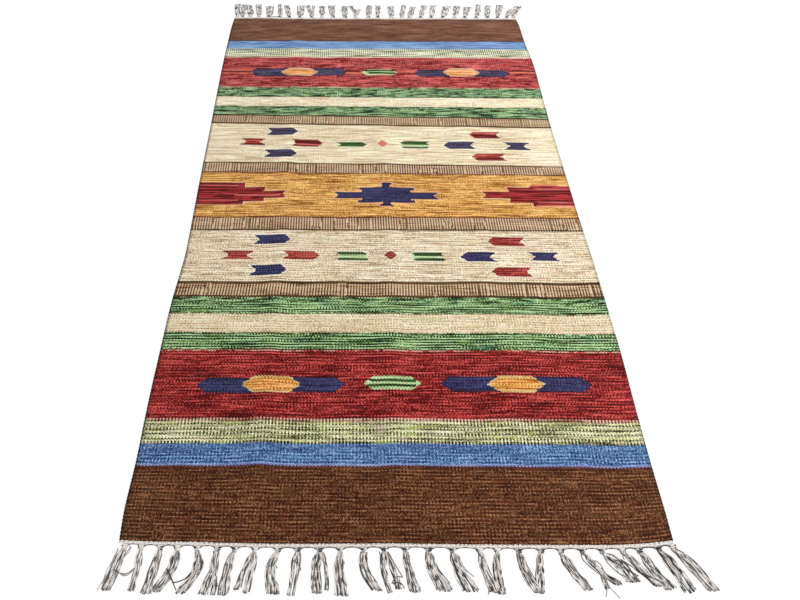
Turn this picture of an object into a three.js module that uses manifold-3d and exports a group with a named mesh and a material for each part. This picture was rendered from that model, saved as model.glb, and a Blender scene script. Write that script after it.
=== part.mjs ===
// Flat-woven kilim rug: one tapestry-woven field, a twined heading cord across
// each end, and beyond each heading a comb of knotted warp tassels.
//
// Millimetres, +Z up. The rug lies flat on the XY plane with its length along Y,
// so X runs from selvedge to selvedge. The near end is the -Y end.
// The origin is under the middle of the whole rug, fringes included.

import * as THREE from 'three';
import { mergeVertices } from 'three/addons/utils/BufferGeometryUtils.js';
import Module from 'manifold-3d';

const wasm = await Module();
wasm.setup();

// ---------------------------------------------------------------- sizes

const HALF_WIDTH = 450;          // warps are set out evenly over this, either side
const CLOTH_THICKNESS = 3;       // weft-faced wool on cotton warps
const PIECE_GAP = 0.3;           // clearance between neighbouring pieces
const ROW_COUNT = 19;            // rows of the field's surface, end to end
const FLAT_COLUMN_STEP = 75;     // widest column of the field between two folds
const FOLD_FADE = 60;            // length over which a fold settles near and past an end
const FOLD_END_SHARE = 0.5;      // share of a fold's height left at the woven end

const HEADING = { width: 5, height: 3.6, shoulder: 1.3 };

const WEB = { height: 1.8, shallow: 1.4, deep: 5.4 };

const KNOT = { width: 9.5, height: 6, length: 7 };
const NECK = { width: 7, height: 4.4, turnsBy: 0.3 };
const STRAND_HEIGHT = { belly: 4.2, low: 3.6, tip: 2.8 };
const SLOPE_STEP = 0.02;         // share of a tassel over which its lean is read

// Where the two selvedges run, measured from the rug's centre line.
const SELVEDGES = [
  { along: -752, left: -454, right: 450 },
  { along: -700, left: -457, right: 451 },
  { along: -620, left: -455.5, right: 451 },
  { along: -520, left: -457, right: 453 },
  { along: -420, left: -456.5, right: 456 },
  { along: -300, left: -455, right: 456 },
  { along: -180, left: -448, right: 455 },
  { along: -60, left: -449.5, right: 452 },
  { along: 60, left: -452, right: 451 },
  { along: 240, left: -454.5, right: 449.5 },
  { along: 400, left: -457.5, right: 451 },
  { along: 500, left: -459, right: 452 },
  { along: 620, left: -458.5, right: 445 },
  { along: 700, left: -457.5, right: 443 },
  { along: 746, left: -454, right: 438 },
];

// Where the two woven ends run, measured from the rug's middle.
const WOVEN_ENDS = [
  { across: -460, near: -746.5, far: 744.5 },
  { across: -400, near: -749, far: 746 },
  { across: -350, near: -749.5, far: 745.5 },
  { across: -280, near: -751, far: 742.5 },
  { across: -200, near: -752.5, far: 742 },
  { across: 0, near: -752, far: 741 },
  { across: 150, near: -753.5, far: 741.5 },
  { across: 350, near: -754, far: 740.5 },
  { across: 410, near: -751.5, far: 740.5 },
  { across: 457, near: -746.5, far: 739 },
];

// Soft creases left by storing the rug folded in four, lengthwise: each runs along one warp.
const FOLDS = [
  { warp: -238, height: 2.2, reach: 34 },
  { warp: 2, height: 2.6, reach: 38 },
  { warp: 214, height: 1.2, reach: 40 },
];

// One row a tassel, left to right. root, bend and tip are where its centre line
// lies across the rug at the knot, halfway and at the cut end; reach is its
// length beyond the web, belly and flare its width halfway and at the cut end.
const NEAR_TASSELS = [
  { root: -444, bend: -452, tip: -460, reach: 66, belly: 14, flare: 17 },
  { root: -416, bend: -414, tip: -421, reach: 66, belly: 10, flare: 10 },
  { root: -387, bend: -390, tip: -396, reach: 69, belly: 13, flare: 13 },
  { root: -357, bend: -358, tip: -376, reach: 65, belly: 16, flare: 15 },
  { root: -326, bend: -321, tip: -342, reach: 68, belly: 16, flare: 16 },
  { root: -294, bend: -296, tip: -301, reach: 69, belly: 10, flare: 23 },
  { root: -263, bend: -272, tip: -274, reach: 69, belly: 10, flare: 17 },
  { root: -229, bend: -240, tip: -246, reach: 64, belly: 14, flare: 24 },
  { root: -195, bend: -203, tip: -197, reach: 66, belly: 14, flare: 22 },
  { root: -161, bend: -164, tip: -166, reach: 68, belly: 14, flare: 16 },
  { root: -126, bend: -129, tip: -125, reach: 64, belly: 19, flare: 24 },
  { root: -92, bend: -95, tip: -90, reach: 68, belly: 13, flare: 19 },
  { root: -56, bend: -54, tip: -34, reach: 61, belly: 14, flare: 18 },
  { root: -23, bend: -19, tip: -8, reach: 64, belly: 16, flare: 24 },
  { root: 12, bend: 17, tip: 26, reach: 63, belly: 11, flare: 17 },
  { root: 50, bend: 54, tip: 71, reach: 61, belly: 16, flare: 22 },
  { root: 88, bend: 95, tip: 113, reach: 61, belly: 15, flare: 24 },
  { root: 132, bend: 137, tip: 150, reach: 63, belly: 10, flare: 15 },
  { root: 161, bend: 157, tip: 159, reach: 64, belly: 11, flare: 17 },
  { root: 196, bend: 201, tip: 220, reach: 63, belly: 14, flare: 14 },
  { root: 232, bend: 226, tip: 222, reach: 62, belly: 12, flare: 14 },
  { root: 263, bend: 273, tip: 298, reach: 59, belly: 15, flare: 14 },
  { root: 300, bend: 313, tip: 343, reach: 53, belly: 14, flare: 15 },
  { root: 330, bend: 349, tip: 372, reach: 50, belly: 17, flare: 20 },
  { root: 364, bend: 381, tip: 410, reach: 54, belly: 15, flare: 18 },
  { root: 390, bend: 402, tip: 425, reach: 59, belly: 14, flare: 16 },
  { root: 423, bend: 438, tip: 454, reach: 65, belly: 15, flare: 17 },
  { root: 445, bend: 471, tip: 492, reach: 67, belly: 20, flare: 17 },
];

const FAR_TASSELS = [
  { root: -446, bend: -449, tip: -452, reach: 76, belly: 13, flare: 18 },
  { root: -430, bend: -432, tip: -434, reach: 72, belly: 13, flare: 16 },
  { root: -405, bend: -410, tip: -417, reach: 70, belly: 16, flare: 15 },
  { root: -377, bend: -379, tip: -386, reach: 73, belly: 13, flare: 15 },
  { root: -346, bend: -345, tip: -346, reach: 64, belly: 17, flare: 21 },
  { root: -309, bend: -311, tip: -315, reach: 75, belly: 12, flare: 14 },
  { root: -281, bend: -286, tip: -293, reach: 72, belly: 11, flare: 15 },
  { root: -246, bend: -246, tip: -247, reach: 70, belly: 18, flare: 21 },
  { root: -209, bend: -212, tip: -216, reach: 72, belly: 13, flare: 21 },
  { root: -178, bend: -176, tip: -177, reach: 66, belly: 15, flare: 18 },
  { root: -142, bend: -146, tip: -148, reach: 70, belly: 15, flare: 22 },
  { root: -104, bend: -106, tip: -107, reach: 66, belly: 15, flare: 21 },
  { root: -69, bend: -70, tip: -76, reach: 66, belly: 15, flare: 24 },
  { root: -29, bend: -28, tip: -25, reach: 70, belly: 14, flare: 15 },
  { root: 0, bend: 1, tip: 1, reach: 72, belly: 11, flare: 17 },
  { root: 44, bend: 43, tip: 43, reach: 68, belly: 15, flare: 16 },
  { root: 76, bend: 79, tip: 86, reach: 74, belly: 12, flare: 13 },
  { root: 100, bend: 105, tip: 108, reach: 63, belly: 13, flare: 20 },
  { root: 134, bend: 141, tip: 151, reach: 70, belly: 12, flare: 16 },
  { root: 167, bend: 174, tip: 180, reach: 70, belly: 12, flare: 19 },
  { root: 202, bend: 212, tip: 223, reach: 66, belly: 16, flare: 24 },
  { root: 241, bend: 249, tip: 254, reach: 70, belly: 12, flare: 18 },
  { root: 274, bend: 282, tip: 289, reach: 63, belly: 12, flare: 22 },
  { root: 310, bend: 320, tip: 326, reach: 76, belly: 13, flare: 15 },
  { root: 344, bend: 350, tip: 355, reach: 70, belly: 13, flare: 13 },
  { root: 378, bend: 386, tip: 394, reach: 73, belly: 14, flare: 21 },
  { root: 407, bend: 413, tip: 426, reach: 50, belly: 13, flare: 18 },
  { root: 428, bend: 438, tip: 454, reach: 70, belly: 16, flare: 22 },
];

// ---------------------------------------------------------------- curves

// Smooth curve through one column of a table, as a cubic with the slopes of its chords.
function curveThrough(rows, place, column) {
  return (at) => {
    let k = 0;
    while (k < rows.length - 2 && at > rows[k + 1][place]) k += 1;
    const start = rows[k];
    const end = rows[k + 1];
    const before = rows[Math.max(k - 1, 0)];
    const after = rows[Math.min(k + 2, rows.length - 1)];
    const span = end[place] - start[place];
    const startSlope = (end[column] - before[column]) / (end[place] - before[place]);
    const endSlope = (after[column] - start[column]) / (after[place] - start[place]);
    const t = THREE.MathUtils.clamp((at - start[place]) / span, 0, 1);
    const t2 = t * t;
    const t3 = t2 * t;
    return (2 * t3 - 3 * t2 + 1) * start[column]
      + (t3 - 2 * t2 + t) * span * startSlope
      + (3 * t2 - 2 * t3) * end[column]
      + (t3 - t2) * span * endSlope;
  };
}

const NEAR_CORNER = SELVEDGES[0].along;
const FAR_CORNER = SELVEDGES[SELVEDGES.length - 1].along;
const leftSelvedge = curveThrough(SELVEDGES, 'along', 'left');
const rightSelvedge = curveThrough(SELVEDGES, 'along', 'right');
const nearEnd = curveThrough(WOVEN_ENDS, 'across', 'near');
const farEnd = curveThrough(WOVEN_ENDS, 'across', 'far');

// Where a warp lies at a place along the rug, because the selvedges carry the warps
// with them, and the other way round.
function acrossOf(warp, y) {
  const share = (warp + HALF_WIDTH) / (2 * HALF_WIDTH);
  return THREE.MathUtils.lerp(leftSelvedge(y), rightSelvedge(y), share);
}

function warpAt(x, y) {
  const share = (x - leftSelvedge(y)) / (rightSelvedge(y) - leftSelvedge(y));
  return (2 * share - 1) * HALF_WIDTH;
}

// How far the cloth stands off the floor: soft ridges that settle towards the ends.
function lift(warp, y) {
  let height = 0;
  for (const fold of FOLDS) {
    const closeness = Math.max(0, 1 - Math.abs(warp - fold.warp) / fold.reach);
    height += fold.height * closeness * closeness * (3 - 2 * closeness);
  }
  const x = acrossOf(warp, y);
  const inside = y < 0 ? y - nearEnd(x) : farEnd(x) - y;
  const settle = THREE.MathUtils.clamp(inside / FOLD_FADE, -1, 1);
  const share = settle < 0
    ? FOLD_END_SHARE * (1 + settle)
    : FOLD_END_SHARE + (1 - FOLD_END_SHARE) * settle;
  return height * share;
}

// Warps that carry the shape: five on each fold, and even steps on the flat between.
function mainWarps() {
  const warps = [-HALF_WIDTH];
  const fillTo = (limit) => {
    const from = warps[warps.length - 1];
    const steps = Math.max(1, Math.ceil((limit - from) / FLAT_COLUMN_STEP));
    for (let k = 1; k <= steps; k += 1) warps.push(from + ((limit - from) * k) / steps);
  };
  for (const fold of FOLDS) {
    fillTo(fold.warp - fold.reach);
    for (const share of [-0.5, 0, 0.5, 1]) warps.push(fold.warp + share * fold.reach);
  }
  fillTo(HALF_WIDTH);
  return warps;
}

// ---------------------------------------------------------------- solids

// Closed skin over rings of points: each ring joins the next, with a fan at both ends.
function skinOverRings(rings) {
  const sides = rings[0].length;
  const positions = [];
  const faces = [];
  for (const ring of rings) {
    for (const point of ring) positions.push(...point);
  }
  for (let r = 0; r < rings.length - 1; r += 1) {
    for (let k = 0; k < sides; k += 1) {
      const a = r * sides + k;
      const b = r * sides + ((k + 1) % sides);
      faces.push(a, b, b + sides, a, b + sides, a + sides);
    }
  }
  const last = (rings.length - 1) * sides;
  for (let k = 1; k < sides - 1; k += 1) {
    faces.push(0, k + 1, k);
    faces.push(last, last + k, last + k + 1);
  }
  const geometry = new THREE.BufferGeometry();
  geometry.setAttribute('position', new THREE.Float32BufferAttribute(positions, 3));
  geometry.setIndex(faces);
  return geometry;
}

function toManifold(geometry) {
  const bare = geometry.clone();
  bare.deleteAttribute('normal');
  bare.deleteAttribute('uv');
  const merged = mergeVertices(bare);
  return new wasm.Manifold(new wasm.Mesh({
    numProp: 3,
    vertProperties: new Float32Array(merged.attributes.position.array),
    triVerts: new Uint32Array(merged.index.array),
  }));
}

function fromManifold(solid) {
  const { vertProperties, triVerts } = solid.getMesh();
  const geometry = new THREE.BufferGeometry();
  geometry.setAttribute('position', new THREE.Float32BufferAttribute(vertProperties, 3));
  geometry.setIndex(Array.from(triVerts));
  return geometry;
}

// The woven field: an even sheet that follows the selvedges, the ends and the folds.
function fieldGeometry() {
  const warps = mainWarps();
  const columns = warps.length;
  const positions = [];
  const place = (row, warp) => {
    const start = nearEnd(acrossOf(warp, NEAR_CORNER));
    const end = farEnd(acrossOf(warp, FAR_CORNER));
    const y = THREE.MathUtils.lerp(start, end, row / (ROW_COUNT - 1));
    return [acrossOf(warp, y), y, lift(warp, y)];
  };
  for (const layer of [0, CLOTH_THICKNESS]) {
    for (let row = 0; row < ROW_COUNT; row += 1) {
      for (let column = 0; column < columns; column += 1) {
        const [x, y, z] = place(row, warps[column]);
        positions.push(x, y, z + layer);
      }
    }
  }
  const below = (row, column) => row * columns + column;
  const above = (row, column) => ROW_COUNT * columns + below(row, column);
  const faces = [];
  const quad = (a, b, c, d) => faces.push(a, b, c, a, c, d);
  const lastRow = ROW_COUNT - 1;
  const lastColumn = columns - 1;
  for (let row = 0; row < lastRow; row += 1) {
    for (let column = 0; column < lastColumn; column += 1) {
      quad(above(row, column), above(row, column + 1),
        above(row + 1, column + 1), above(row + 1, column));
      quad(below(row, column), below(row + 1, column),
        below(row + 1, column + 1), below(row, column + 1));
    }
    quad(below(row, 0), above(row, 0), above(row + 1, 0), below(row + 1, 0));
    quad(below(row, lastColumn), below(row + 1, lastColumn),
      above(row + 1, lastColumn), above(row, lastColumn));
  }
  for (let column = 0; column < lastColumn; column += 1) {
    quad(below(0, column), below(0, column + 1), above(0, column + 1), above(0, column));
    quad(below(lastRow, column), above(lastRow, column),
      above(lastRow, column + 1), below(lastRow, column + 1));
  }
  const geometry = new THREE.BufferGeometry();
  geometry.setAttribute('position', new THREE.Float32BufferAttribute(positions, 3));
  geometry.setIndex(faces);
  return geometry;
}

// A bar across one end. outline gives its section as pairs of distance out from
// the woven end and height; outward is -1 at the near end and +1 at the far end.
function barAcrossEnd(stations, endCurve, outward, outline) {
  const rings = stations.map((x) => {
    const edge = endCurve(x);
    return outline(x).map(([out, z]) => {
      const y = edge + outward * out;
      return [x, y, z + lift(warpAt(x, y), y)];
    });
  });
  return skinOverRings(outward < 0 ? rings : rings.reverse());
}

function headingGeometry(endCurve, outward) {
  const { width, height, shoulder } = HEADING;
  const section = [
    [0, 0], [0, height - shoulder], [shoulder, height],
    [width - shoulder, height], [width, height - shoulder], [width, 0],
  ];
  const shifted = section.map(([out, z]) => [out + PIECE_GAP, z]);
  const corner = outward < 0 ? NEAR_CORNER : FAR_CORNER;
  const stations = mainWarps().map((warp) => acrossOf(warp, corner));
  return barAcrossEnd(stations, endCurve, outward, () => shifted);
}

// The gathered warps between heading and knots: deep at a knot, shallow between two.
function webGeometry(tassels, endCurve, outward) {
  const inner = 2 * PIECE_GAP + HEADING.width;
  const depthAt = new Map();
  tassels.forEach((tassel, k) => {
    depthAt.set(tassel.root - KNOT.width / 2, WEB.deep);
    depthAt.set(tassel.root + KNOT.width / 2, WEB.deep);
    const next = tassels[k + 1];
    if (next) depthAt.set((tassel.root + next.root) / 2, WEB.shallow);
  });
  const stations = [...depthAt.keys()].sort((a, b) => a - b);
  const outline = (x) => {
    const outer = inner + depthAt.get(x);
    return [[inner, 0], [inner, WEB.height], [outer, WEB.height], [outer, 0]];
  };
  return barAcrossEnd(stations, endCurve, outward, outline);
}

// One tassel: a round knot, a drawn-in neck, and a bundle that opens towards its cut end.
function tasselGeometry(tassel, endCurve, outward) {
  const start = 2 * PIECE_GAP + HEADING.width + 1;
  const { root, bend, tip, reach, belly, flare } = tassel;
  const profile = [
    { share: 0, width: NECK.width, height: NECK.height },
    { share: KNOT.length / 2 / reach, width: KNOT.width, height: KNOT.height },
    { share: KNOT.length / reach, width: NECK.width, height: NECK.height },
    { share: 0.45, width: belly, height: STRAND_HEIGHT.belly },
    { share: 0.75, width: (belly + flare) / 2, height: STRAND_HEIGHT.low },
    { share: 1, width: flare, height: STRAND_HEIGHT.tip },
  ];
  const centre = curveThrough([
    { share: 0, x: root }, { share: 0.5, x: bend }, { share: 1, x: tip },
  ], 'share', 'x');
  const base = endCurve(root) + outward * start;
  const rings = profile.map(({ share, width, height }) => {
    const y = base + outward * reach * share;
    const x = centre(share);
    const ahead = Math.min(share + SLOPE_STEP, 1);
    const behind = Math.max(share - SLOPE_STEP, 0);
    const slope = (centre(ahead) - centre(behind)) / (reach * (ahead - behind));
    const turn = Math.atan(slope) * Math.min(1, share / NECK.turnsBy);
    const half = width / 2;
    const z = lift(warpAt(x, y), y);
    const ring = [
      [-0.8 * half, 0], [0.8 * half, 0], [half, 0.4 * height],
      [0.55 * half, height], [-0.55 * half, height], [-half, 0.4 * height],
    ];
    return ring.map(([side, up]) => [
      x + side * Math.cos(turn), y - outward * side * Math.sin(turn), z + up,
    ]);
  });
  return skinOverRings(outward < 0 ? rings : rings.reverse());
}

// The whole comb of one end, joined into one solid.
function fringeGeometry(tassels, endCurve, outward) {
  let comb = toManifold(webGeometry(tassels, endCurve, outward));
  for (const tassel of tassels) {
    comb = comb.add(toManifold(tasselGeometry(tassel, endCurve, outward)));
  }
  return fromManifold(comb);
}

// ---------------------------------------------------------------- assembly

const woolMaterial = new THREE.MeshStandardMaterial({ color: 0x8a3a34, roughness: 0.95 });
const headingMaterial = new THREE.MeshStandardMaterial({ color: 0xe9dfcf, roughness: 0.9 });
const warpMaterial = new THREE.MeshStandardMaterial({ color: 0xb9b4ae, roughness: 0.9 });

function piece(name, geometry, material) {
  geometry.computeVertexNormals();
  const mesh = new THREE.Mesh(geometry, material);
  mesh.name = name;
  return mesh;
}

const NEAR = -1;
const FAR = 1;

const rug = new THREE.Group();
rug.add(piece('woven_field', fieldGeometry(), woolMaterial));
rug.add(piece('heading_near', headingGeometry(nearEnd, NEAR), headingMaterial));
rug.add(piece('heading_far', headingGeometry(farEnd, FAR), headingMaterial));
rug.add(piece('fringe_near', fringeGeometry(NEAR_TASSELS, nearEnd, NEAR), warpMaterial));
rug.add(piece('fringe_far', fringeGeometry(FAR_TASSELS, farEnd, FAR), warpMaterial));

// The leaning tassels reach further on one side, so the rug is centred by its box.
const reachBox = new THREE.Box3().setFromObject(rug);
const middle = reachBox.getCenter(new THREE.Vector3());
rug.position.set(-middle.x, -middle.y, -reachBox.min.z);

export default rug;
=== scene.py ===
"""Flat-woven kilim rug, laid flat on a pale floor.

The rug is a tapestry-woven wool field, a twined cotton heading across each end and,
beyond each heading, a comb of knotted warp tassels. Everything is set out on the rug's
plan in millimetres, with the near end towards -Y, and is carried to the frame in metres.
"""

from __future__ import annotations

import logging
import math
from dataclasses import dataclass, field
from enum import Enum
from typing import Callable, NamedTuple, Optional, Sequence, Union

import bpy
import numpy as np
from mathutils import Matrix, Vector

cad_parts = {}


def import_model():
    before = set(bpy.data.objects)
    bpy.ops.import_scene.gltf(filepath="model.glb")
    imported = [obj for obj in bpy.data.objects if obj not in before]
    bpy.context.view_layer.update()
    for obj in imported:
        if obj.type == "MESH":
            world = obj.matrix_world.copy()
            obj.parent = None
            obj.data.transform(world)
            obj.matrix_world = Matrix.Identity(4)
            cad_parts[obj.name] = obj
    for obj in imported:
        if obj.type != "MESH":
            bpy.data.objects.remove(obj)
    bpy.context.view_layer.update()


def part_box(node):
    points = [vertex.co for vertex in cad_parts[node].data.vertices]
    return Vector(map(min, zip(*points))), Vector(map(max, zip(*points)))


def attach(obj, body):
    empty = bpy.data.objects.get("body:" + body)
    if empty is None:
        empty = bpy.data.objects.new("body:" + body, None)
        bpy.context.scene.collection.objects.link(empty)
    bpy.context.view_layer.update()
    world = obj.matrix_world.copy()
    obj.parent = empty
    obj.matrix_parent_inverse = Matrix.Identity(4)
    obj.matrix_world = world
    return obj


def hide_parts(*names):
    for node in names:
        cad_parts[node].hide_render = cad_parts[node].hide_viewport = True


log = logging.getLogger("kilim")

MM = 0.001
BODY = "root"
WHITE = (1, 1, 1, 1)

Material = bpy.types.Material
Node = bpy.types.Node
Object = bpy.types.Object
Socket = bpy.types.NodeSocket
Value = Union[Socket, float]
Colour = tuple[float, float, float, float]
Pair = tuple[float, float]
Array = np.ndarray
StrandSet = tuple[Array, Array, Array]


# ---- tables


class SelvedgePoint(NamedTuple):
    """Where the two selvedges run at one place along the rug."""

    along: float
    left: float
    right: float


class EndPoint(NamedTuple):
    """Where the two woven ends run at one place across the rug."""

    across: float
    near: float
    far: float


class Fold(NamedTuple):
    """A soft crease along one warp: its height and reach, and how far it bends the wefts."""

    warp: float
    height: float
    reach: float
    near_bend: float
    far_bend: float


class Tassel(NamedTuple):
    """One tassel: its centre line at the knot, halfway and at the cut end, and its size.

    knot is how much of the knot is in the shade.
    """

    root: float
    bend: float
    tip: float
    reach: float
    belly: float
    flare: float
    knot: float


SELVEDGES = [SelvedgePoint(*row) for row in (
    (-752, -454, 450), (-700, -457, 451), (-620, -455.5, 451), (-520, -457, 453),
    (-420, -456.5, 456), (-300, -455, 456), (-180, -448, 455), (-60, -449.5, 452),
    (60, -452, 451), (240, -454.5, 449.5), (400, -457.5, 451), (500, -459, 452),
    (620, -458.5, 445), (700, -457.5, 443), (746, -454, 438),
)]

WOVEN_ENDS = [EndPoint(*row) for row in (
    (-460, -746.5, 742), (-400, -749, 743), (-350, -749.5, 742.5), (-280, -751, 739),
    (-200, -752.5, 738.5), (0, -752, 737.5), (150, -753.5, 737.5), (350, -754, 737),
    (410, -751.5, 737), (457, -746.5, 736),
)]

FOLDS = [Fold(*row) for row in (
    (-238, 2.2, 34, 1.8, -0.8), (2, 2.6, 38, 1.2, -2.2), (214, 1.2, 40, 0.6, -0.8),
)]

NEAR_TASSELS = [Tassel(*row) for row in (
    (-443, -451, -461, 66, 21, 18, 0.5), (-416, -415, -419, 66, 12, 11, 0.5),
    (-385, -389, -395, 69, 15, 16, 0.6), (-357, -359, -379, 66, 17, 17, 0.5),
    (-325, -320, -341, 68, 18, 19, 0.7), (-292, -294, -300, 69, 12, 25, 0.6),
    (-264, -272, -275, 69, 13, 17, 0.9), (-231, -240, -246, 64, 14, 24, 0.6),
    (-194, -202, -196, 66, 17, 23, 0.6), (-162, -164, -168, 68, 16, 16, 0.8),
    (-127, -129, -125, 64, 19, 24, 0.9), (-93, -94, -89, 69, 15, 20, 0.7),
    (-55, -54, -35, 62, 16, 19, 0.8), (-22, -19, -8, 64, 16, 24, 1),
    (12, 17, 26, 64, 14, 18, 0.9), (50, 54, 71, 62, 17, 23, 0.9),
    (88, 96, 112, 62, 17, 26, 0.9), (133, 138, 151, 63, 13, 18, 0.4),
    (161, 158, 159, 65, 14, 18, 0.5), (195, 201, 218, 64, 14, 15, 1),
    (231, 224, 219, 62, 13, 15, 0.8), (263, 275, 295, 59, 17, 17, 0.7),
    (298, 313, 343, 53, 14, 15, 0.9), (330, 354, 368, 48, 24, 22, 0.8),
    (363, 383, 408, 54, 16, 18, 0.5), (390, 403, 424, 60, 16, 17, 0.9),
    (423, 439, 454, 65, 19, 19, 1), (446, 470, 491, 66, 20, 17, 0.6),
)]

FAR_TASSELS = [Tassel(*row) for row in (
    (-446, -450, -452, 76, 16, 18, 0.4), (-431, -433, -434, 72, 16, 17, 0.6),
    (-405, -410, -417, 70, 19, 17, 0.3), (-377, -380, -386, 73, 16, 16, 0.6),
    (-346, -346, -346, 64, 21, 22, 1), (-309, -311, -315, 75, 15, 15, 0.8),
    (-281, -286, -293, 72, 14, 16, 0.9), (-246, -246, -247, 70, 21, 20, 0.9),
    (-208, -212, -217, 72, 16, 24, 0.9), (-176, -176, -177, 68, 18, 17, 0.3),
    (-141, -145, -148, 72, 18, 23, 0.7), (-102, -105, -106, 68, 18, 21, 0.7),
    (-69, -70, -76, 66, 18, 22, 0.2), (-29, -28, -25, 72, 17, 16, 0.6),
    (0, 1, 2, 72, 14, 16, 0.9), (46, 44, 44, 68, 18, 18, 0.2),
    (77, 81, 88, 74, 16, 15, 0.4), (102, 108, 114, 65, 17, 18, 0.5),
    (137, 145, 154, 72, 15, 18, 1), (171, 177, 182, 72, 16, 18, 1),
    (206, 216, 226, 68, 19, 22, 1), (244, 253, 258, 70, 16, 19, 0.4),
    (278, 286, 293, 64, 15, 22, 1), (314, 324, 330, 78, 16, 16, 0.9),
    (349, 354, 359, 72, 16, 15, 1), (382, 390, 398, 74, 17, 20, 1),
    (411, 417, 430, 50, 16, 18, 1), (432, 442, 458, 70, 19, 20, 0.5),
)]


# ---- curves and arrays


def curve_through(at: Array, values: Array) -> Callable[[Array], Array]:
    """Lays a smooth curve through values that are known at some places.

    Between two places it is the cubic h00 a + h10 d ma + h01 b + h11 d mb, where the
    slopes ma and mb are those of the chords to the places either side.

    Args:
        at: The places, in order.
        values: The value at each.

    Returns:
        A function of an array of places.
    """
    slopes = np.empty_like(values)
    slopes[1:-1] = (values[2:] - values[:-2]) / (at[2:] - at[:-2])
    slopes[0] = (values[1] - values[0]) / (at[1] - at[0])
    slopes[-1] = (values[-1] - values[-2]) / (at[-1] - at[-2])

    def curve(where: Array) -> Array:
        """Returns the curve's value at each place."""
        where = np.asarray(where, float)
        k = np.clip(np.searchsorted(at, where) - 1, 0, len(at) - 2)
        span = at[k + 1] - at[k]
        t = np.clip((where - at[k]) / span, 0, 1)
        return ((2 * t**3 - 3 * t**2 + 1) * values[k] + (t**3 - 2 * t**2 + t) * span * slopes[k]
                + (3 * t**2 - 2 * t**3) * values[k + 1] + (t**3 - t**2) * span * slopes[k + 1])

    return curve


def smooth(t: Array) -> Array:
    """Returns 3 t^2 - 2 t^3 with t held between 0 and 1."""
    t = np.clip(t, 0, 1)
    return t * t * (3 - 2 * t)


def ramp(value: Array, start: float, width: float) -> Array:
    """Returns 0 up to start and 1 past start + width, smoothly between."""
    return smooth((value - start) / width)


def lerp(start: Array, end: Array, share: Array) -> Array:
    """Returns start + (end - start) share."""
    return start + (end - start) * share


def unit(vectors: Array) -> Array:
    """Returns the vectors along the last axis, each of length 1."""
    return vectors / np.maximum(np.linalg.norm(vectors, axis=-1, keepdims=True), 1e-9)


def bell(t: Array) -> Array:
    """Returns exp(-t^2), a hump that is 1 at 0."""
    return np.exp(-(t**2))


# ---- the rug's plan


class End(Enum):
    """The two woven ends. The value is the direction outwards along Y."""

    NEAR = -1
    FAR = 1


class Tilt(NamedTuple):
    """How much more the wefts slant round one place along the rug."""

    amount: float
    place: float
    reach: float


class Wave(NamedTuple):
    """A slow wave over the rug, with the lengths that its angle is measured by."""

    size: float
    across: float
    along: float
    phase: float = 0.0

    def at(self, x: Array, y: Array) -> Array:
        """Returns size sin(x / across + y / along + phase)."""
        return self.size * np.sin(x / self.across + y / self.along + self.phase)


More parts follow.
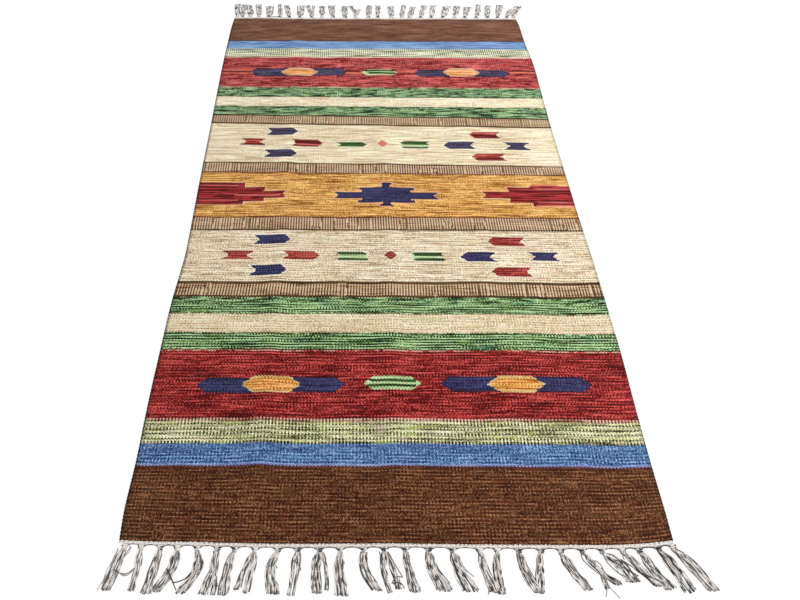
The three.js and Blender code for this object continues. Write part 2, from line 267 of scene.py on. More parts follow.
@dataclass
class RugPlan:
    """Where the cloth lies on the floor, in millimetres from the middle of the field.

    A place on the cloth is a warp (from -half_width to half_width) and a place along it.
    """

    half_width: float = 450.0
    thickness: float = 3.0
    gap: float = 0.3
    near_nominal: float = -750.0
    far_nominal: float = 741.5
    fold_fade: float = 60.0
    fold_end_share: float = 0.5
    fold_sway: float = 0.12
    fold_sway_length: float = 83.0
    fold_bend_width: float = 24.0
    end_blend: float = 130.0
    tilt: float = 1.6
    more_tilts: tuple[Tilt, ...] = (
        Tilt(3.9, 120.0, 130.0), Tilt(3.0, 400.0, 230.0), Tilt(6.0, 258.0, 36.0), Tilt(3.0, 98.0, 24.0),
    )
    waves: tuple[Wave, ...] = (Wave(0.5, 49.0, 95.0, 0.6), Wave(0.4, 22.0, -61.0, 2.1))
    dip_depth: float = 2.0
    dip_place: float = 385.0
    dip_width: float = 70.0
    dip_fade: float = 200.0
    shift: Vector = field(default_factory=Vector)

    def __post_init__(self) -> None:
        """Sets up the edge curves from the tables."""
        along, left, right = np.array(SELVEDGES, float).T
        across, near, far = np.array(WOVEN_ENDS, float).T
        self.left, self.right = curve_through(along, left), curve_through(along, right)
        self.near_end, self.far_end = curve_through(across, near), curve_through(across, far)

    def settle_on(self, field_node: str, heading_node: str) -> None:
        """Finds how far the plan is from the frame, from two CAD nodes.

        Args:
            field_node: The woven field's node, whose near side gives the place along Y.
            heading_node: The near heading's node, whose left side gives the place along X.
        """
        across = np.linspace(-self.half_width, self.half_width, 901)
        lowest = self.near_end(self.across(across, SELVEDGES[0].along)).min()
        self.shift = Vector((
            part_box(heading_node)[0].x / MM - float(self.left(SELVEDGES[0].along)),
            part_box(field_node)[0].y / MM - float(lowest),
            0.0,
        ))

    def to_frame(self, points: Array) -> Array:
        """Returns plan points as frame points in metres."""
        return (points + np.array(self.shift)) * MM

    def across(self, warp: Array, along: Array) -> Array:
        """Returns x of a warp at a place along the rug, evenly between the selvedges."""
        share = (warp + self.half_width) / (2 * self.half_width)
        return lerp(self.left(along), self.right(along), share)

    def warp_at(self, x: Array, y: Array) -> Array:
        """Returns the warp that passes through (x, y)."""
        share = (x - self.left(y)) / (self.right(y) - self.left(y))
        return (2 * share - 1) * self.half_width

    def end(self, which: End, x: Array) -> Array:
        """Returns y of a woven end at x."""
        return (self.near_end if which is End.NEAR else self.far_end)(x)

    def inside(self, x: Array, y: Array) -> Array:
        """Returns how far (x, y) is inside the nearer woven end."""
        return np.where(y < 0, y - self.near_end(x), self.far_end(x) - y)

    def lift(self, warp: Array, y: Array) -> Array:
        """Works out how far the cloth stands off the floor.

        Each fold adds height * smooth(1 - |warp - fold| / reach), which sways a little
        along the rug and fades towards its ends.

        Args:
            warp: The warps.
            y: The places along the rug.

        Returns:
            The heights.
        """
        height = 0.0
        for fold in FOLDS:
            sway = 1 - self.fold_sway + self.fold_sway * np.sin(y / self.fold_sway_length + fold.warp)
            height = height + fold.height * sway * smooth(1 - np.abs(warp - fold.warp) / fold.reach)
        settle = np.clip(self.inside(self.across(warp, y), y) / self.fold_fade, -1, 1)
        share = np.where(settle < 0, self.fold_end_share * (1 + settle),
                         self.fold_end_share + (1 - self.fold_end_share) * settle)
        return height * share

    def wander(self, x: Array, y: Array) -> Array:
        """Works out how far the wefts stray along the rug from their nominal place.

        It is a tilt, with more of it round some places, slow waves, a hump where each
        crease bends the wefts, and a dip in the near right quarter. Near an end the wefts
        follow the woven end.

        Args:
            x: The places across the rug.
            y: The places along it.

        Returns:
            The distances.
        """
        tilt = self.tilt
        for more in self.more_tilts:
            tilt = tilt + more.amount * bell((y - more.place) / more.reach)
        stray = -tilt * x / self.half_width
        for wave in self.waves:
            stray = stray + wave.at(x, y)
        along = (y - self.near_nominal) / (self.far_nominal - self.near_nominal)
        for fold in FOLDS:
            bend = lerp(fold.near_bend, fold.far_bend, along)
            stray = stray + bend * bell((x - fold.warp) / self.fold_bend_width)
        dip = self.dip_depth * bell((x - self.dip_place) / self.dip_width)
        stray = stray - dip * smooth(0.5 - y / self.dip_fade)
        near = self.near_end(x) - self.near_nominal
        far = self.far_end(x) - self.far_nominal
        at_end = np.where(y < 0, near, far)
        return lerp(at_end, stray, smooth(self.inside(x, y) / self.end_blend))

    def weft_place(self, x: Array, y: Array) -> Array:
        """Returns the nominal place along the rug of the weft through (x, y)."""
        return y - self.wander(x, y)


# ---- meshes


def link(name: str, data: bpy.types.ID) -> Object:
    """Puts new data into the scene.

    Args:
        name: The object's name.
        data: Its mesh, lamp or camera.

    Returns:
        The object.
    """
    thing = bpy.data.objects.new(name, data)
    bpy.context.scene.collection.objects.link(thing)
    return thing


@dataclass
class MeshParts:
    """Arrays of one mesh: points in plan millimetres, faces, and per-corner map places."""

    points: Array
    quads: Array
    maps: dict[str, Array]
    caps: list[list[int]] = field(default_factory=list)
    cap_maps: dict[str, Array] = field(default_factory=dict)
    finish_index: Optional[Array] = None
    tints: dict[str, Array] = field(default_factory=dict)

    def to_object(self, name: str, plan: RugPlan, finishes: Sequence[Material]) -> Object:
        """Makes the Blender object, at the origin with its place in its mesh.

        Args:
            name: The piece's name.
            plan: The plan that carries the points to the frame.
            finishes: The materials, in slot order.

        Returns:
            The new object, linked to the scene.
        """
        mesh = bpy.data.meshes.new(name)
        mesh.from_pydata(plan.to_frame(self.points), [], self.quads.tolist() + self.caps)
        for finish in finishes:
            mesh.materials.append(finish)
        for label, corners in self.maps.items():
            layer = mesh.uv_layers.new(name=label)
            values = corners.reshape(-1, 2)
            if self.caps:
                values = np.concatenate([values, self.cap_maps[label].reshape(-1, 2)])
            layer.uv.foreach_set("vector", values.astype(np.float32).ravel())
        for label, values in self.tints.items():
            tint = mesh.attributes.new(label, "FLOAT_COLOR", "POINT")
            tint.data.foreach_set("color", values.astype(np.float32).ravel())
        if self.finish_index is not None:
            mesh.polygons.foreach_set("material_index", self.finish_index.astype(np.int32))
        mesh.polygons.foreach_set("use_smooth", np.ones(len(mesh.polygons), bool))
        mesh.validate()
        mesh.update()
        return link(name, mesh)


def grid_quads(rows: int, columns: int) -> Array:
    """Returns a grid's quads, row by row: (r, c), (r, c + 1), (r + 1, c + 1), (r + 1, c)."""
    start = (np.arange(rows - 1)[:, None] * columns + np.arange(columns - 1)).ravel()
    return np.stack([start, start + 1, start + columns + 1, start + columns], axis=1)


# ---- shader wiring


def dye(code: int) -> Colour:
    """Turns a display colour into the linear colour of a socket.

    A channel c is c / 12.92 up to 0.04045, and ((c + 0.055) / 1.055)^2.4 above it.

    Args:
        code: Red, green and blue, two hexadecimal digits each.

    Returns:
        The linear colour, which is opaque.
    """
    shares = [channel / 255 for channel in code.to_bytes(3, "big")]
    linear = [s / 12.92 if s <= 0.04045 else ((s + 0.055) / 1.055) ** 2.4 for s in shares]
    return (linear[0], linear[1], linear[2], 1.0)


class Patch(NamedTuple):
    """The size of soft noise: how far one patch reaches across and along the rug."""

    across: float
    along: float
    detail: float = 1.0
    roughness: float = 0.6


class Spread(NamedTuple):
    """How noise is drawn out about its middle, before it is held between 0 and 1."""

    strength: float
    middle: float


class Feel(NamedTuple):
    """How a fibre takes the light: bump depth in metres, roughness and sheen."""

    depth: float
    roughness: float
    sheen: float


class Wiring:
    """Adds shader nodes to one material, or to the world, and joins them."""

    def __init__(self, block: Union[Material, bpy.types.World]) -> None:
        """Empties the node tree of a material or world.

        Args:
            block: The material or world.
        """
        self.block = block
        block.use_nodes = True
        self.tree = block.node_tree
        self.tree.nodes.clear()

    def add(self, kind: str, *values: object, named: Optional[dict[Union[str, int], object]] = None,
            **settings: object) -> Node:
        """Adds a node, and joins other nodes' outputs to its inputs or sets constants there.

        Args:
            kind: The node's type.
            values: What its first inputs get, in their order.
            named: What its other inputs get, by name or number.
            settings: The node's own settings.

        Returns:
            The node.
        """
        node = self.tree.nodes.new("ShaderNode" + kind)
        for label, value in settings.items():
            setattr(node, label, value)
        pairs = [(node.inputs[key], value) for key, value in (named or {}).items()]
        for socket, value in (*zip(node.inputs, values), *pairs):
            if isinstance(value, Socket):
                self.tree.links.new(value, socket)
            else:
                socket.default_value = value
        return node

    def math(self, operation: str, *values: Value, clamp: bool = False) -> Socket:
        """Returns the result of a Math node."""
        return self.add("Math", *values, operation=operation, use_clamp=clamp).outputs[0]

    def times(self, first: Value, second: Value, clamp: bool = False) -> Socket:
        """Returns first * second."""
        return self.math("MULTIPLY", first, second, clamp=clamp)

    def linear(self, value: Value, slope: Value, start: Value, clamp: bool = False) -> Socket:
        """Returns slope * value + start."""
        return self.math("MULTIPLY_ADD", value, slope, start, clamp=clamp)

    def spread(self, value: Value, spread: Spread) -> Socket:
        """Returns strength (value - 0.5) + middle, held between 0 and 1."""
        return self.linear(value, spread.strength, spread.middle - spread.strength / 2, clamp=True)

    def blend(self, share: Value, first: object, second: object) -> Socket:
        """Returns the colour that is first at share 0 and second at share 1."""
        inputs = {0: share, 6: first, 7: second}
        return self.add("Mix", named=inputs, data_type="RGBA", clamp_factor=True).outputs[2]

    def scaled(self, colour: Socket, amount: Value) -> Socket:
        """Returns a colour times a number."""
        return self.add("VectorMath", colour, named={"Scale": amount}, operation="SCALE").outputs[0]

    def vector(self, x: Value, y: Value) -> Socket:
        """Returns a vector of two numbers."""
        return self.add("CombineXYZ", x, y).outputs[0]

    def noise(self, x: Socket, y: Socket, patch: Patch) -> Socket:
        """Makes soft noise between 0 and 1, read at (x / across, y / along).

        Args:
            x: The first coordinate.
            y: The second coordinate.
            patch: How large its patches are.

        Returns:
            The noise.
        """
        place = [value if size == 1 else self.math("DIVIDE", value, size)
                 for value, size in ((x, patch.across), (y, patch.along))]
        inputs = {"Vector": self.vector(*place), "Scale": 1.0,
                  "Detail": patch.detail, "Roughness": patch.roughness}
        return self.add("TexNoise", named=inputs, noise_dimensions="2D").outputs["Fac"]

    def map_place(self, label: str) -> tuple[Socket, Socket]:
        """Returns the two coordinates of a named map."""
        split = self.add("SeparateXYZ", self.add("UVMap", uv_map=label).outputs[0])
        return split.outputs[0], split.outputs[1]

    def surface(self, colour: Socket, height: Socket, feel: Feel) -> Material:
        """Closes the material with a dull shader and a bump.

        Args:
            colour: Base colour.
            height: Bump height, as a share of the depth.
            feel: How the fibre takes the light.

        Returns:
            The finished material.
        """
        bump = self.add("Bump", named={"Strength": 1.0, "Distance": feel.depth, "Height": height})
        shader = self.add("BsdfPrincipled", named={
            "Base Color": colour, "Normal": bump.outputs[0], "Roughness": feel.roughness,
            "Specular IOR Level": 0.15, "Sheen Weight": feel.sheen, "Sheen Roughness": 0.6,
        })
        self.add("OutputMaterial", shader.outputs[0])
        return self.block


# ---- the weave


class Yarn(NamedTuple):
    """A dyed yarn: its dark, middle and light colours, and what its lots stray towards.

    streak, tone and grain say how much the colour changes from pick to pick, from patch
    to patch and from fleck to fleck. comb is how much darker every second warp
    shows, a painted shade between the warps.
    """

    dark: int
    mid: int
    light: int
    warm: int
    cool: int
    streak: float = 2.4
    tone: float = 1.4
    grain: float = 0.7
    comb: float = 0.08


class Weave(Enum):
    """How a band is woven."""

    STREAKED = "one yarn, streaked from row to row"
    BARRED = "two yarns turn about, which stand as bars along the warps"
    DOTTED = "pale rows with every third row dotted and toothed edges"
    BROKEN = "a thin line that comes and goes"


class Band(NamedTuple):
    """A band across the rug, from start up to the next band's start."""

    start: float
    yarn: str
    weave: Weave = Weave.STREAKED
    second: str = ""


class Cut(Enum):
    """The end of a woven shape."""

    SQUARE = 0
    POINT = 1
    NOTCH = -1


class Shape(NamedTuple):
    """A woven shape: its ends and middle on the laid rug, and how its ends are cut."""

    left: float
    right: float
    middle: float
    half_height: float
    left_cut: Cut = Cut.SQUARE
    right_cut: Cut = Cut.SQUARE
    cut: float = 14.0


class Figure(NamedTuple):
    """Shapes woven as one in one yarn.

    rim is how much darker the yarn shows where the figure ends, a painted shade along
    its edge, and halo names the yarn of the locking stitches round it.
    """

    yarn: str
    shapes: tuple[Shape, ...]
    rim: float
    halo: str


def figure(yarn: str, *shapes: tuple, rim: float = 0.42, halo: str = "") -> Figure:
    """Returns a figure made of rows of shape values."""
    return Figure(yarn, tuple(Shape(*row) for row in shapes), rim, halo)


# Many yarns come in near and far copies, and the bars in a middle one too. The farther copy is mostly lighter
# and paler: partly the yarn's own tone, partly painted light, a paler sheen over the far half of the rug.
YARNS = {name: Yarn(*row) for name, *row in (
    ("brown near", 0x1A0000, 0x482008, 0xAA7852, 0x683620, 0x5C4020, 0.85, 0.3, 0.6, 0.1),
    ("brown far", 0x4E2815, 0x704831, 0x916851, 0x79412C, 0x6B4D2C, 2.6, 1.4, 0.8, 0.16),
    ("maroon", 0x2C100E, 0x441A16, 0x602C26, 0x4E1A16, 0x3A201A),
    ("lavender", 0x7070A0, 0x8C8EB8, 0xA6AACE, 0x9688AA, 0x788CBE),
    ("blue near", 0x001C4C, 0x3B5D8C, 0x9CC2F0, 0x5C6CA0, 0x50789E, 0.95, 0.22, 0.78, 0.17),
    ("blue far", 0x4E6E9A, 0x7394C0, 0x94B6E0, 0x7E8ACA, 0x66A0CC, 2.8, 1.3, 0.8, 0.12),
    ("pale near", 0x141200, 0xA5A670, 0xFFFFD7, 0xC8D670, 0xC4B09C, 2.0, 0.8, 0.85, 0.24),
    ("pale far", 0x545833, 0xCCCEAF, 0xF6F8DD, 0xDAE491, 0xD8D4CD, 4.2, 1.0, 0.8, 0.4),
    ("pink teeth", 0x602E22, 0xCEAA94, 0xE8CCB8, 0xD6A08C, 0xC8B896),
    ("pink edge", 0xB07866, 0xE8CAB6, 0xF6E2D0, 0xECBEAC, 0xE4D2B6),
    ("red near", 0x1E0000, 0x6B0000, 0xE8605B, 0x91100B, 0x7F1E27, 2.1, 0.4, 0.68, 0.04),
    ("red far", 0x500000, 0x992427, 0xE2726E, 0xAE2821, 0x963441, 4.0, 0.9, 1.15, 0.1),
    ("pink line", 0x965446, 0xC8927E, 0xDEB4A0, 0xCC8C78, 0xC4A082),
    ("olive line", 0x221C0A, 0x362E14, 0x52502A, 0x3C2A12, 0x323C1C),
    ("green near", 0x000A00, 0x2B541D, 0xC0E2A5, 0x6D8535, 0x437D61, 4.0, 0.5, 1.0, 0.05),
    ("green far", 0x001200, 0x2E551E, 0xA8CC96, 0x6C863D, 0x467E69, 8.4, 0.9, 1.7, 0.16),
    ("cream near", 0x9E845A, 0xE3CEAA, 0xFFF7DE, 0xEBC4AA, 0xDBD298, 1.3, 0.6, 0.9, 0.12),
    ("cream field near", 0x907450, 0xE7CEAC, 0xFFFAE2, 0xEAC6AA, 0xDAD09A, 2.1, 0.5, 0.9, 0.08),
    ("cream field far", 0xBCA47E, 0xF3DCBA, 0xFFFADE, 0xF6D2B9, 0xE8DCA9, 3.4, 0.9, 1.1, 0.16),
    ("cream far", 0xC4B08A, 0xF1E2C1, 0xFFF8E2, 0xF8DABF, 0xEEE6B5, 2.4, 1.2, 0.9, 0.16),
    ("bars near", 0x4E2D0E, 0x9A7B5B, 0xDEC3A2, 0xAC7960, 0x8E7D4E, 2.2, 1.1, 0.5, 0.0),
    ("bars middle", 0x604124, 0xA48668, 0xDCC1A2, 0xBA8774, 0x968B60, 1.9, 1.1, 0.5, 0.0),
    ("bars far", 0x6E5234, 0xAA9071, 0xD6BE9E, 0xBC927C, 0xA09468, 2.4, 1.3, 0.5, 0.0),
    ("bar edge", 0x2A1808, 0x442C14, 0x6C4E30, 0x502812, 0x40361A),
    ("bar edge far", 0x2E1804, 0x4E2E10, 0x76522C, 0x583014, 0x4C3A16),
    ("mustard", 0x723600, 0xD69440, 0xFFD484, 0xE69758, 0xCCA138, 3.4, 0.6, 1.2, 0.07),
    ("rust edge", 0x461A08, 0x683418, 0x965E32, 0x702E16, 0x623E18),
    ("indigo", 0x17152F, 0x29274D, 0x47456D, 0x37254B, 0x1F315F, 3.0, 0.8, 1.6, 0.08),
    ("indigo far", 0x221924, 0x362D46, 0x544C6C, 0x422A42, 0x2A3056, 3.8, 1.2, 1.1, 0.2),
    ("gold", 0xA05208, 0xD78F42, 0xFCC67A, 0xE0965A, 0xD2A246, 4.4, 0.5, 1.2, 0.08),
    ("gold far", 0xC0702C, 0xE69A5C, 0xFEC68C, 0xEE9E6C, 0xE4B260, 4.4, 0.6, 0.7, 0.08),
    ("straw", 0xCEAC5C, 0xEAD28A, 0xF6E8B0, 0xF0D08C, 0xE4D88C),
    ("straw pink", 0xD6B280, 0xEED0A8, 0xF8E4C8, 0xF2CCB0, 0xE8D6A0),
    ("leaf dark", 0x102608, 0x244016, 0x486634, 0x2A4012, 0x204628, 2.4, 0.8, 0.8),
    ("leaf pale", 0x88A66A, 0xBCD298, 0xE2F0C6, 0xC8D492, 0xAAD0A6, 2.4, 0.8, 0.8),
    ("crimson", 0x510100, 0x8D2721, 0xC55F53, 0x991F15, 0x81272F, 3.8, 0.7, 1.2, 0.08),
    ("crimson far", 0x640404, 0xA63A34, 0xE87C6C, 0xB03026, 0x9A3A40, 4.6, 1.0, 0.8),
    ("wine", 0x2C0000, 0x5E0000, 0xBE3C3C, 0x850C09, 0x751225, 7.4, 0.8, 1.3, 0.08),
    ("wine line", 0x400204, 0x5A0C0C, 0x78201E, 0x600E08, 0x5A0E1E),
    ("rose line", 0xAA4844, 0xC6605A, 0xD67C74, 0xCE6050, 0xBA5C68),
    ("coral line", 0xBE5446, 0xD8705C, 0xE68A74, 0xDE6E54, 0xCE7068),
    ("madder", 0x581A12, 0x7E3228, 0x9C5044, 0x842E22, 0x743630),
    ("coral", 0xB86046, 0xD07A5E, 0xE28E72, 0xD67658, 0xCA8064),
    ("stitch white", 0xE2D6C0, 0xF4EADA, 0xFCF6EA, 0xF6E2D6, 0xECEEDE),
    ("stitch pink", 0xE2BEA4, 0xF2D4BE, 0xFAE2CE, 0xF6CCB8, 0xECDABE),
    ("stitch peach", 0xDA9668, 0xF0B688, 0xFACEA4, 0xF2AE86, 0xEABE86),
)}

BANDS = [Band(*row) for row in (
    (-765, "brown near"),
    (-633, "maroon"),
    (-630.2, "lavender"),
    (-627.4, "blue near"),
    (-592, "pale near", Weave.DOTTED, "pink teeth"),
    (-547, "red near"),
    (-411.4, "pink line", Weave.BROKEN, "red near"),
    (-408.4, "olive line", Weave.BROKEN, "green near"),
    (-405.4, "green near"),
    (-372.4, "olive line", Weave.BROKEN, "green near"),
    (-369.6, "cream near"),
    (-327.7, "olive line", Weave.BROKEN, "green near"),
    (-324.7, "green near"),
    (-286.5, "bar edge"),
    (-283, "bars near", Weave.BARRED),
    (-253, "bar edge"),
    (-247.2, "cream field near"),
    (-108.6, "bar edge"),
    (-104.4, "bars middle", Weave.BARRED),
    (-71.8, "rust edge"),
    (-68, "mustard"),
    (67, "rust edge"),
    (70.5, "bars middle", Weave.BARRED),
    (99, "bar edge"),
    (103.4, "cream field far"),
    (243.2, "bar edge far"),
    (248.4, "bars far", Weave.BARRED),
    (276.5, "bar edge"),
    (281.5, "green far"),
    (317, "olive line", Weave.BROKEN, "green far"),
    (320, "cream far"),
    (359, "olive line", Weave.BROKEN, "green far"),
    (362, "green far"),
    (398, "pink line", Weave.BROKEN, "green far"),
    (402, "red far"),
    (537.5, "pale far", Weave.DOTTED, "pink edge"),
    (581.5, "blue far"),
    (620.5, "maroon"),
    (624, "brown far"),
)]

POINT, NOTCH, SQUARE = Cut.POINT, Cut.NOTCH, Cut.SQUARE

FIGURES = [
    # the near row on red
    figure("indigo", (-373, -262, -481, 14.5, POINT, SQUARE, 20), (-188, -88, -480, 15, SQUARE, POINT, 20)),
    figure("gold", (-283, -176, -478.5, 13.3, POINT, POINT, 19), rim=0.14, halo="straw"),
    figure("leaf pale", (-53, 57, -477, 13.8, POINT, POINT, 19), rim=0.1),
    figure("leaf dark", (-44, 49, -471.6, 3.0, POINT, POINT, 5), (-46, 49, -481.5, 3.0, POINT, POINT, 5),
           rim=0.0),
    figure("indigo", (93, 210, -478.5, 15, POINT, SQUARE, 20), (270, 383, -480.5, 15.5, SQUARE, POINT, 20)),
    figure("gold", (186, 290, -478.5, 13, POINT, POINT, 19), rim=0.14, halo="straw"),
    # the near cream field
    figure("indigo", (-300, -215, -133.5, 12.8, NOTCH, POINT, 15),
           (-301, -218, -217, 13.2, NOTCH, POINT, 16), halo="stitch white"),
    figure("crimson", (-367, -294, -177, 11.5, NOTCH, NOTCH, 17),
           (-232, -147, -177.5, 11.8, NOTCH, POINT, 15), halo="stitch pink"),
    figure("leaf pale", (-108, -43, -180, 10.5, NOTCH, SQUARE, 6), rim=0.0, halo="stitch white"),
    figure("leaf dark", (-113, -44, -172.5, 3.6, NOTCH, POINT, 6),
           (-111, -39, -188.3, 3.4, NOTCH, POINT, 5), rim=0.0),
    figure("madder", (-6, 24, -178.5, 12.3, POINT, POINT, 15), halo="stitch pink"),
    figure("leaf pale", (54, 120, -182, 11.0, POINT, NOTCH, 8), rim=0.0, halo="stitch white"),
    figure("leaf dark", (56, 127, -175, 4.8, POINT, NOTCH, 9), (58, 131, -190, 3.4, POINT, POINT, 8),
           rim=0.0),
    figure("indigo", (163, 243, -182, 12.3, POINT, NOTCH, 15), (315, 383, -182, 11.3, NOTCH, NOTCH, 15),
           halo="stitch white"),
    figure("crimson", (229, 315, -140.5, 12.3, POINT, NOTCH, 14),
           (227, 317, -222.5, 12.3, POINT, NOTCH, 15), halo="stitch pink"),
    # the middle band: one medallion, and half a medallion from each selvedge
    figure("indigo", (-53, 63, 0, 22.5), (-62, 76, 19.5, 4.2, POINT, POINT, 5),
           (-66, 75, -21, 4.2, POINT, POINT, 5), (-121, 0, -0.5, 10, NOTCH, SQUARE, 11),
           (0, 131, -3, 10.5, SQUARE, NOTCH, 13), (-3, 14, 1, 35), (-11, 24, 34.5, 2.8, POINT, POINT, 6),
           (-15, 22, -34, 2.8, POINT, POINT, 6), rim=0.25, halo="stitch peach"),
    figure("wine", (-475, -337, 5, 34), (-475, -287, 2, 22.5, SQUARE, NOTCH, 6),
           (-475, -236, 1, 11, SQUARE, NOTCH, 7), (-475, -352, -24, 5, SQUARE, POINT, 6), rim=0.3,
           halo="stitch peach"),
    figure("rose line", (-450, -352, 31, 2.2), (-360, -250, 0, 1.5), (-450, -350, -17, 1.6), rim=0.0),
    figure("wine line", (-475, -340, 36, 2.6), (-475, -352, 24.5, 2.0), (-475, -297, 15, 2.0),
           (-475, -360, -12, 1.6), (-290, -240, 9, 1.6), rim=0.0),
    figure("wine", (352, 475, -3.5, 33), (297, 475, -1.5, 24, NOTCH, SQUARE, 9),
           (234, 475, -2, 11, NOTCH, SQUARE, 11), rim=0.3, halo="stitch peach"),
    figure("rose line", (366, 450, 17.5, 2.2), (366, 450, -24.5, 1.8), rim=0.0),
    figure("coral line", (360, 455, -34.5, 2.2), (360, 425, 30.5, 1.6), rim=0.0),
    figure("wine line", (302, 475, 11, 3.0), (346, 475, -19, 1.6), (356, 475, -29, 2.2), rim=0.0),
    # the far cream field
    figure("indigo far", (-302, -221, 221.5, 13, NOTCH, POINT, 13), (-303, -218, 141, 14, NOTCH, POINT, 15),
           rim=0.6, halo="stitch white"),
    figure("crimson far", (-367, -302, 183.5, 12, NOTCH, NOTCH, 16),
           (-234, -153, 178, 12.5, NOTCH, POINT, 14), halo="stitch pink"),
    figure("wine line", (-366, -302, 174.0, 3.4), (-228, -157, 180.5, 5.6, SQUARE, POINT, 8), rim=0.0),
    figure("leaf dark", (-117, -39, 173.5, 7.5, NOTCH, POINT, 12), rim=0.0, halo="leaf pale"),
    figure("coral", (-13.5, 14, 174.5, 12.5, POINT, POINT, 13.5), rim=0.15, halo="stitch pink"),
    figure("leaf pale", (46, 118, 170, 10, POINT, SQUARE, 8), rim=0.0, halo="stitch white"),
    figure("leaf dark", (46, 122, 178, 5.8, POINT, NOTCH, 9), (52, 121, 161.5, 2.4, SQUARE, POINT, 5),
           rim=0.0),
    figure("indigo far", (157, 240, 169.5, 13, POINT, NOTCH, 14), (312, 380, 166.5, 13, NOTCH, NOTCH, 17),
           rim=0.6, halo="stitch white"),
    figure("crimson far", (227, 310, 207.5, 12, POINT, NOTCH, 14), (225, 313, 127.5, 12, POINT, NOTCH, 15),
           halo="stitch pink"),
    figure("wine line", (233, 300, 205, 4.0, POINT, SQUARE, 6), (231, 304, 122.5, 3.2, POINT, SQUARE, 6),
           rim=0.0),
    # the far row on red
    figure("coral line", (-460, -366, 481, 2.4), (-460, -366, 467, 2.4), (-98, -50, 465, 4.5),
           (52, 100, 472, 2.4), (372, 460, 469, 3.0), rim=0.0),
    figure("wine line", (-460, -366, 474, 2.6), (-98, -56, 476, 3.4), (52, 100, 463, 3.0),
           (372, 460, 475, 2.6), rim=0.0),
    figure("indigo far", (-370, -262, 470, 18, POINT, SQUARE, 14), (-200, -97, 473, 18, SQUARE, POINT, 12)),
    figure("gold far", (-283, -180, 472, 13, POINT, POINT, 17), rim=0.12, halo="straw pink"),
    figure("leaf pale", (-54, 51, 468.5, 14, POINT, POINT, 18), rim=0.1),
    figure("leaf dark", (-44, 47, 475.5, 3.8, POINT, POINT, 8), (-36, 50, 465, 3.8, POINT, POINT, 8),
           rim=0.0),
    figure("indigo far", (99, 200, 466.5, 15.5, POINT, SQUARE, 14),
           (268, 376, 465, 15.5, SQUARE, POINT, 16)),
    figure("gold far", (185, 287, 469, 15, POINT, POINT, 18), rim=0.12, halo="straw pink"),
]


@dataclass(frozen=True)
class ClothFinish:
    """The finish of a stretch of the woven field, from one place along it to another.

    The weave is weft-faced: a stitch is as wide as the warp pitch and as high as two
    picks, and the stitches of neighbouring warps are half a stitch apart. Each stitch
    takes its colour from where its middle lies, so every edge is toothed. rib_shading
    scales the painted highlight and shade of the rows' ribs and warp_shading the painted
    shade of the darker warps, and flecks is how many grains of lightness a stitch has
    each way.
    """

    name: str
    start: float
    finish: float
    streak_height: float = 3.0
    streak_length: float = 90.0
    rib_shading: float = 0.6
    warp_shading: float = 1.0
    flecks: float = 2.0
    warp_pitch: float = 3.05
    stitch_height: float = 2.85
    margin: float = 14.0
    # Painted shade along the edge of each figure, with its inside a little lighter.
    rim_width: float = 3.4
    rim_shade: float = 1.4
    rim_lift: float = 0.4
    halo_width: float = 3.6
    halo_share: float = 0.75
    # Painted shade in the grooves round each stitch.
    groove_shade: float = 0.24
    # Painted shade on the rounded selvedges, deeper on the left.
    selvedge_left_shade: float = 0.85
    selvedge_right_shade: float = 0.5
    selvedge_warp: float = 445.0
    cord_width: float = 5.0
    feel: Feel = Feel(0.00022, 0.95, 0.04)

    def crosses(self, start: float, finish: float) -> bool:
        """Returns whether what lies from start to finish shows in this stretch."""
        return finish > self.start - self.margin and start < self.finish + self.margin

    def build(self, plan: RugPlan) -> Material:
        """Returns the material, which reads the map "weave": warp and weft place."""
        return Weaver(self, plan).material()


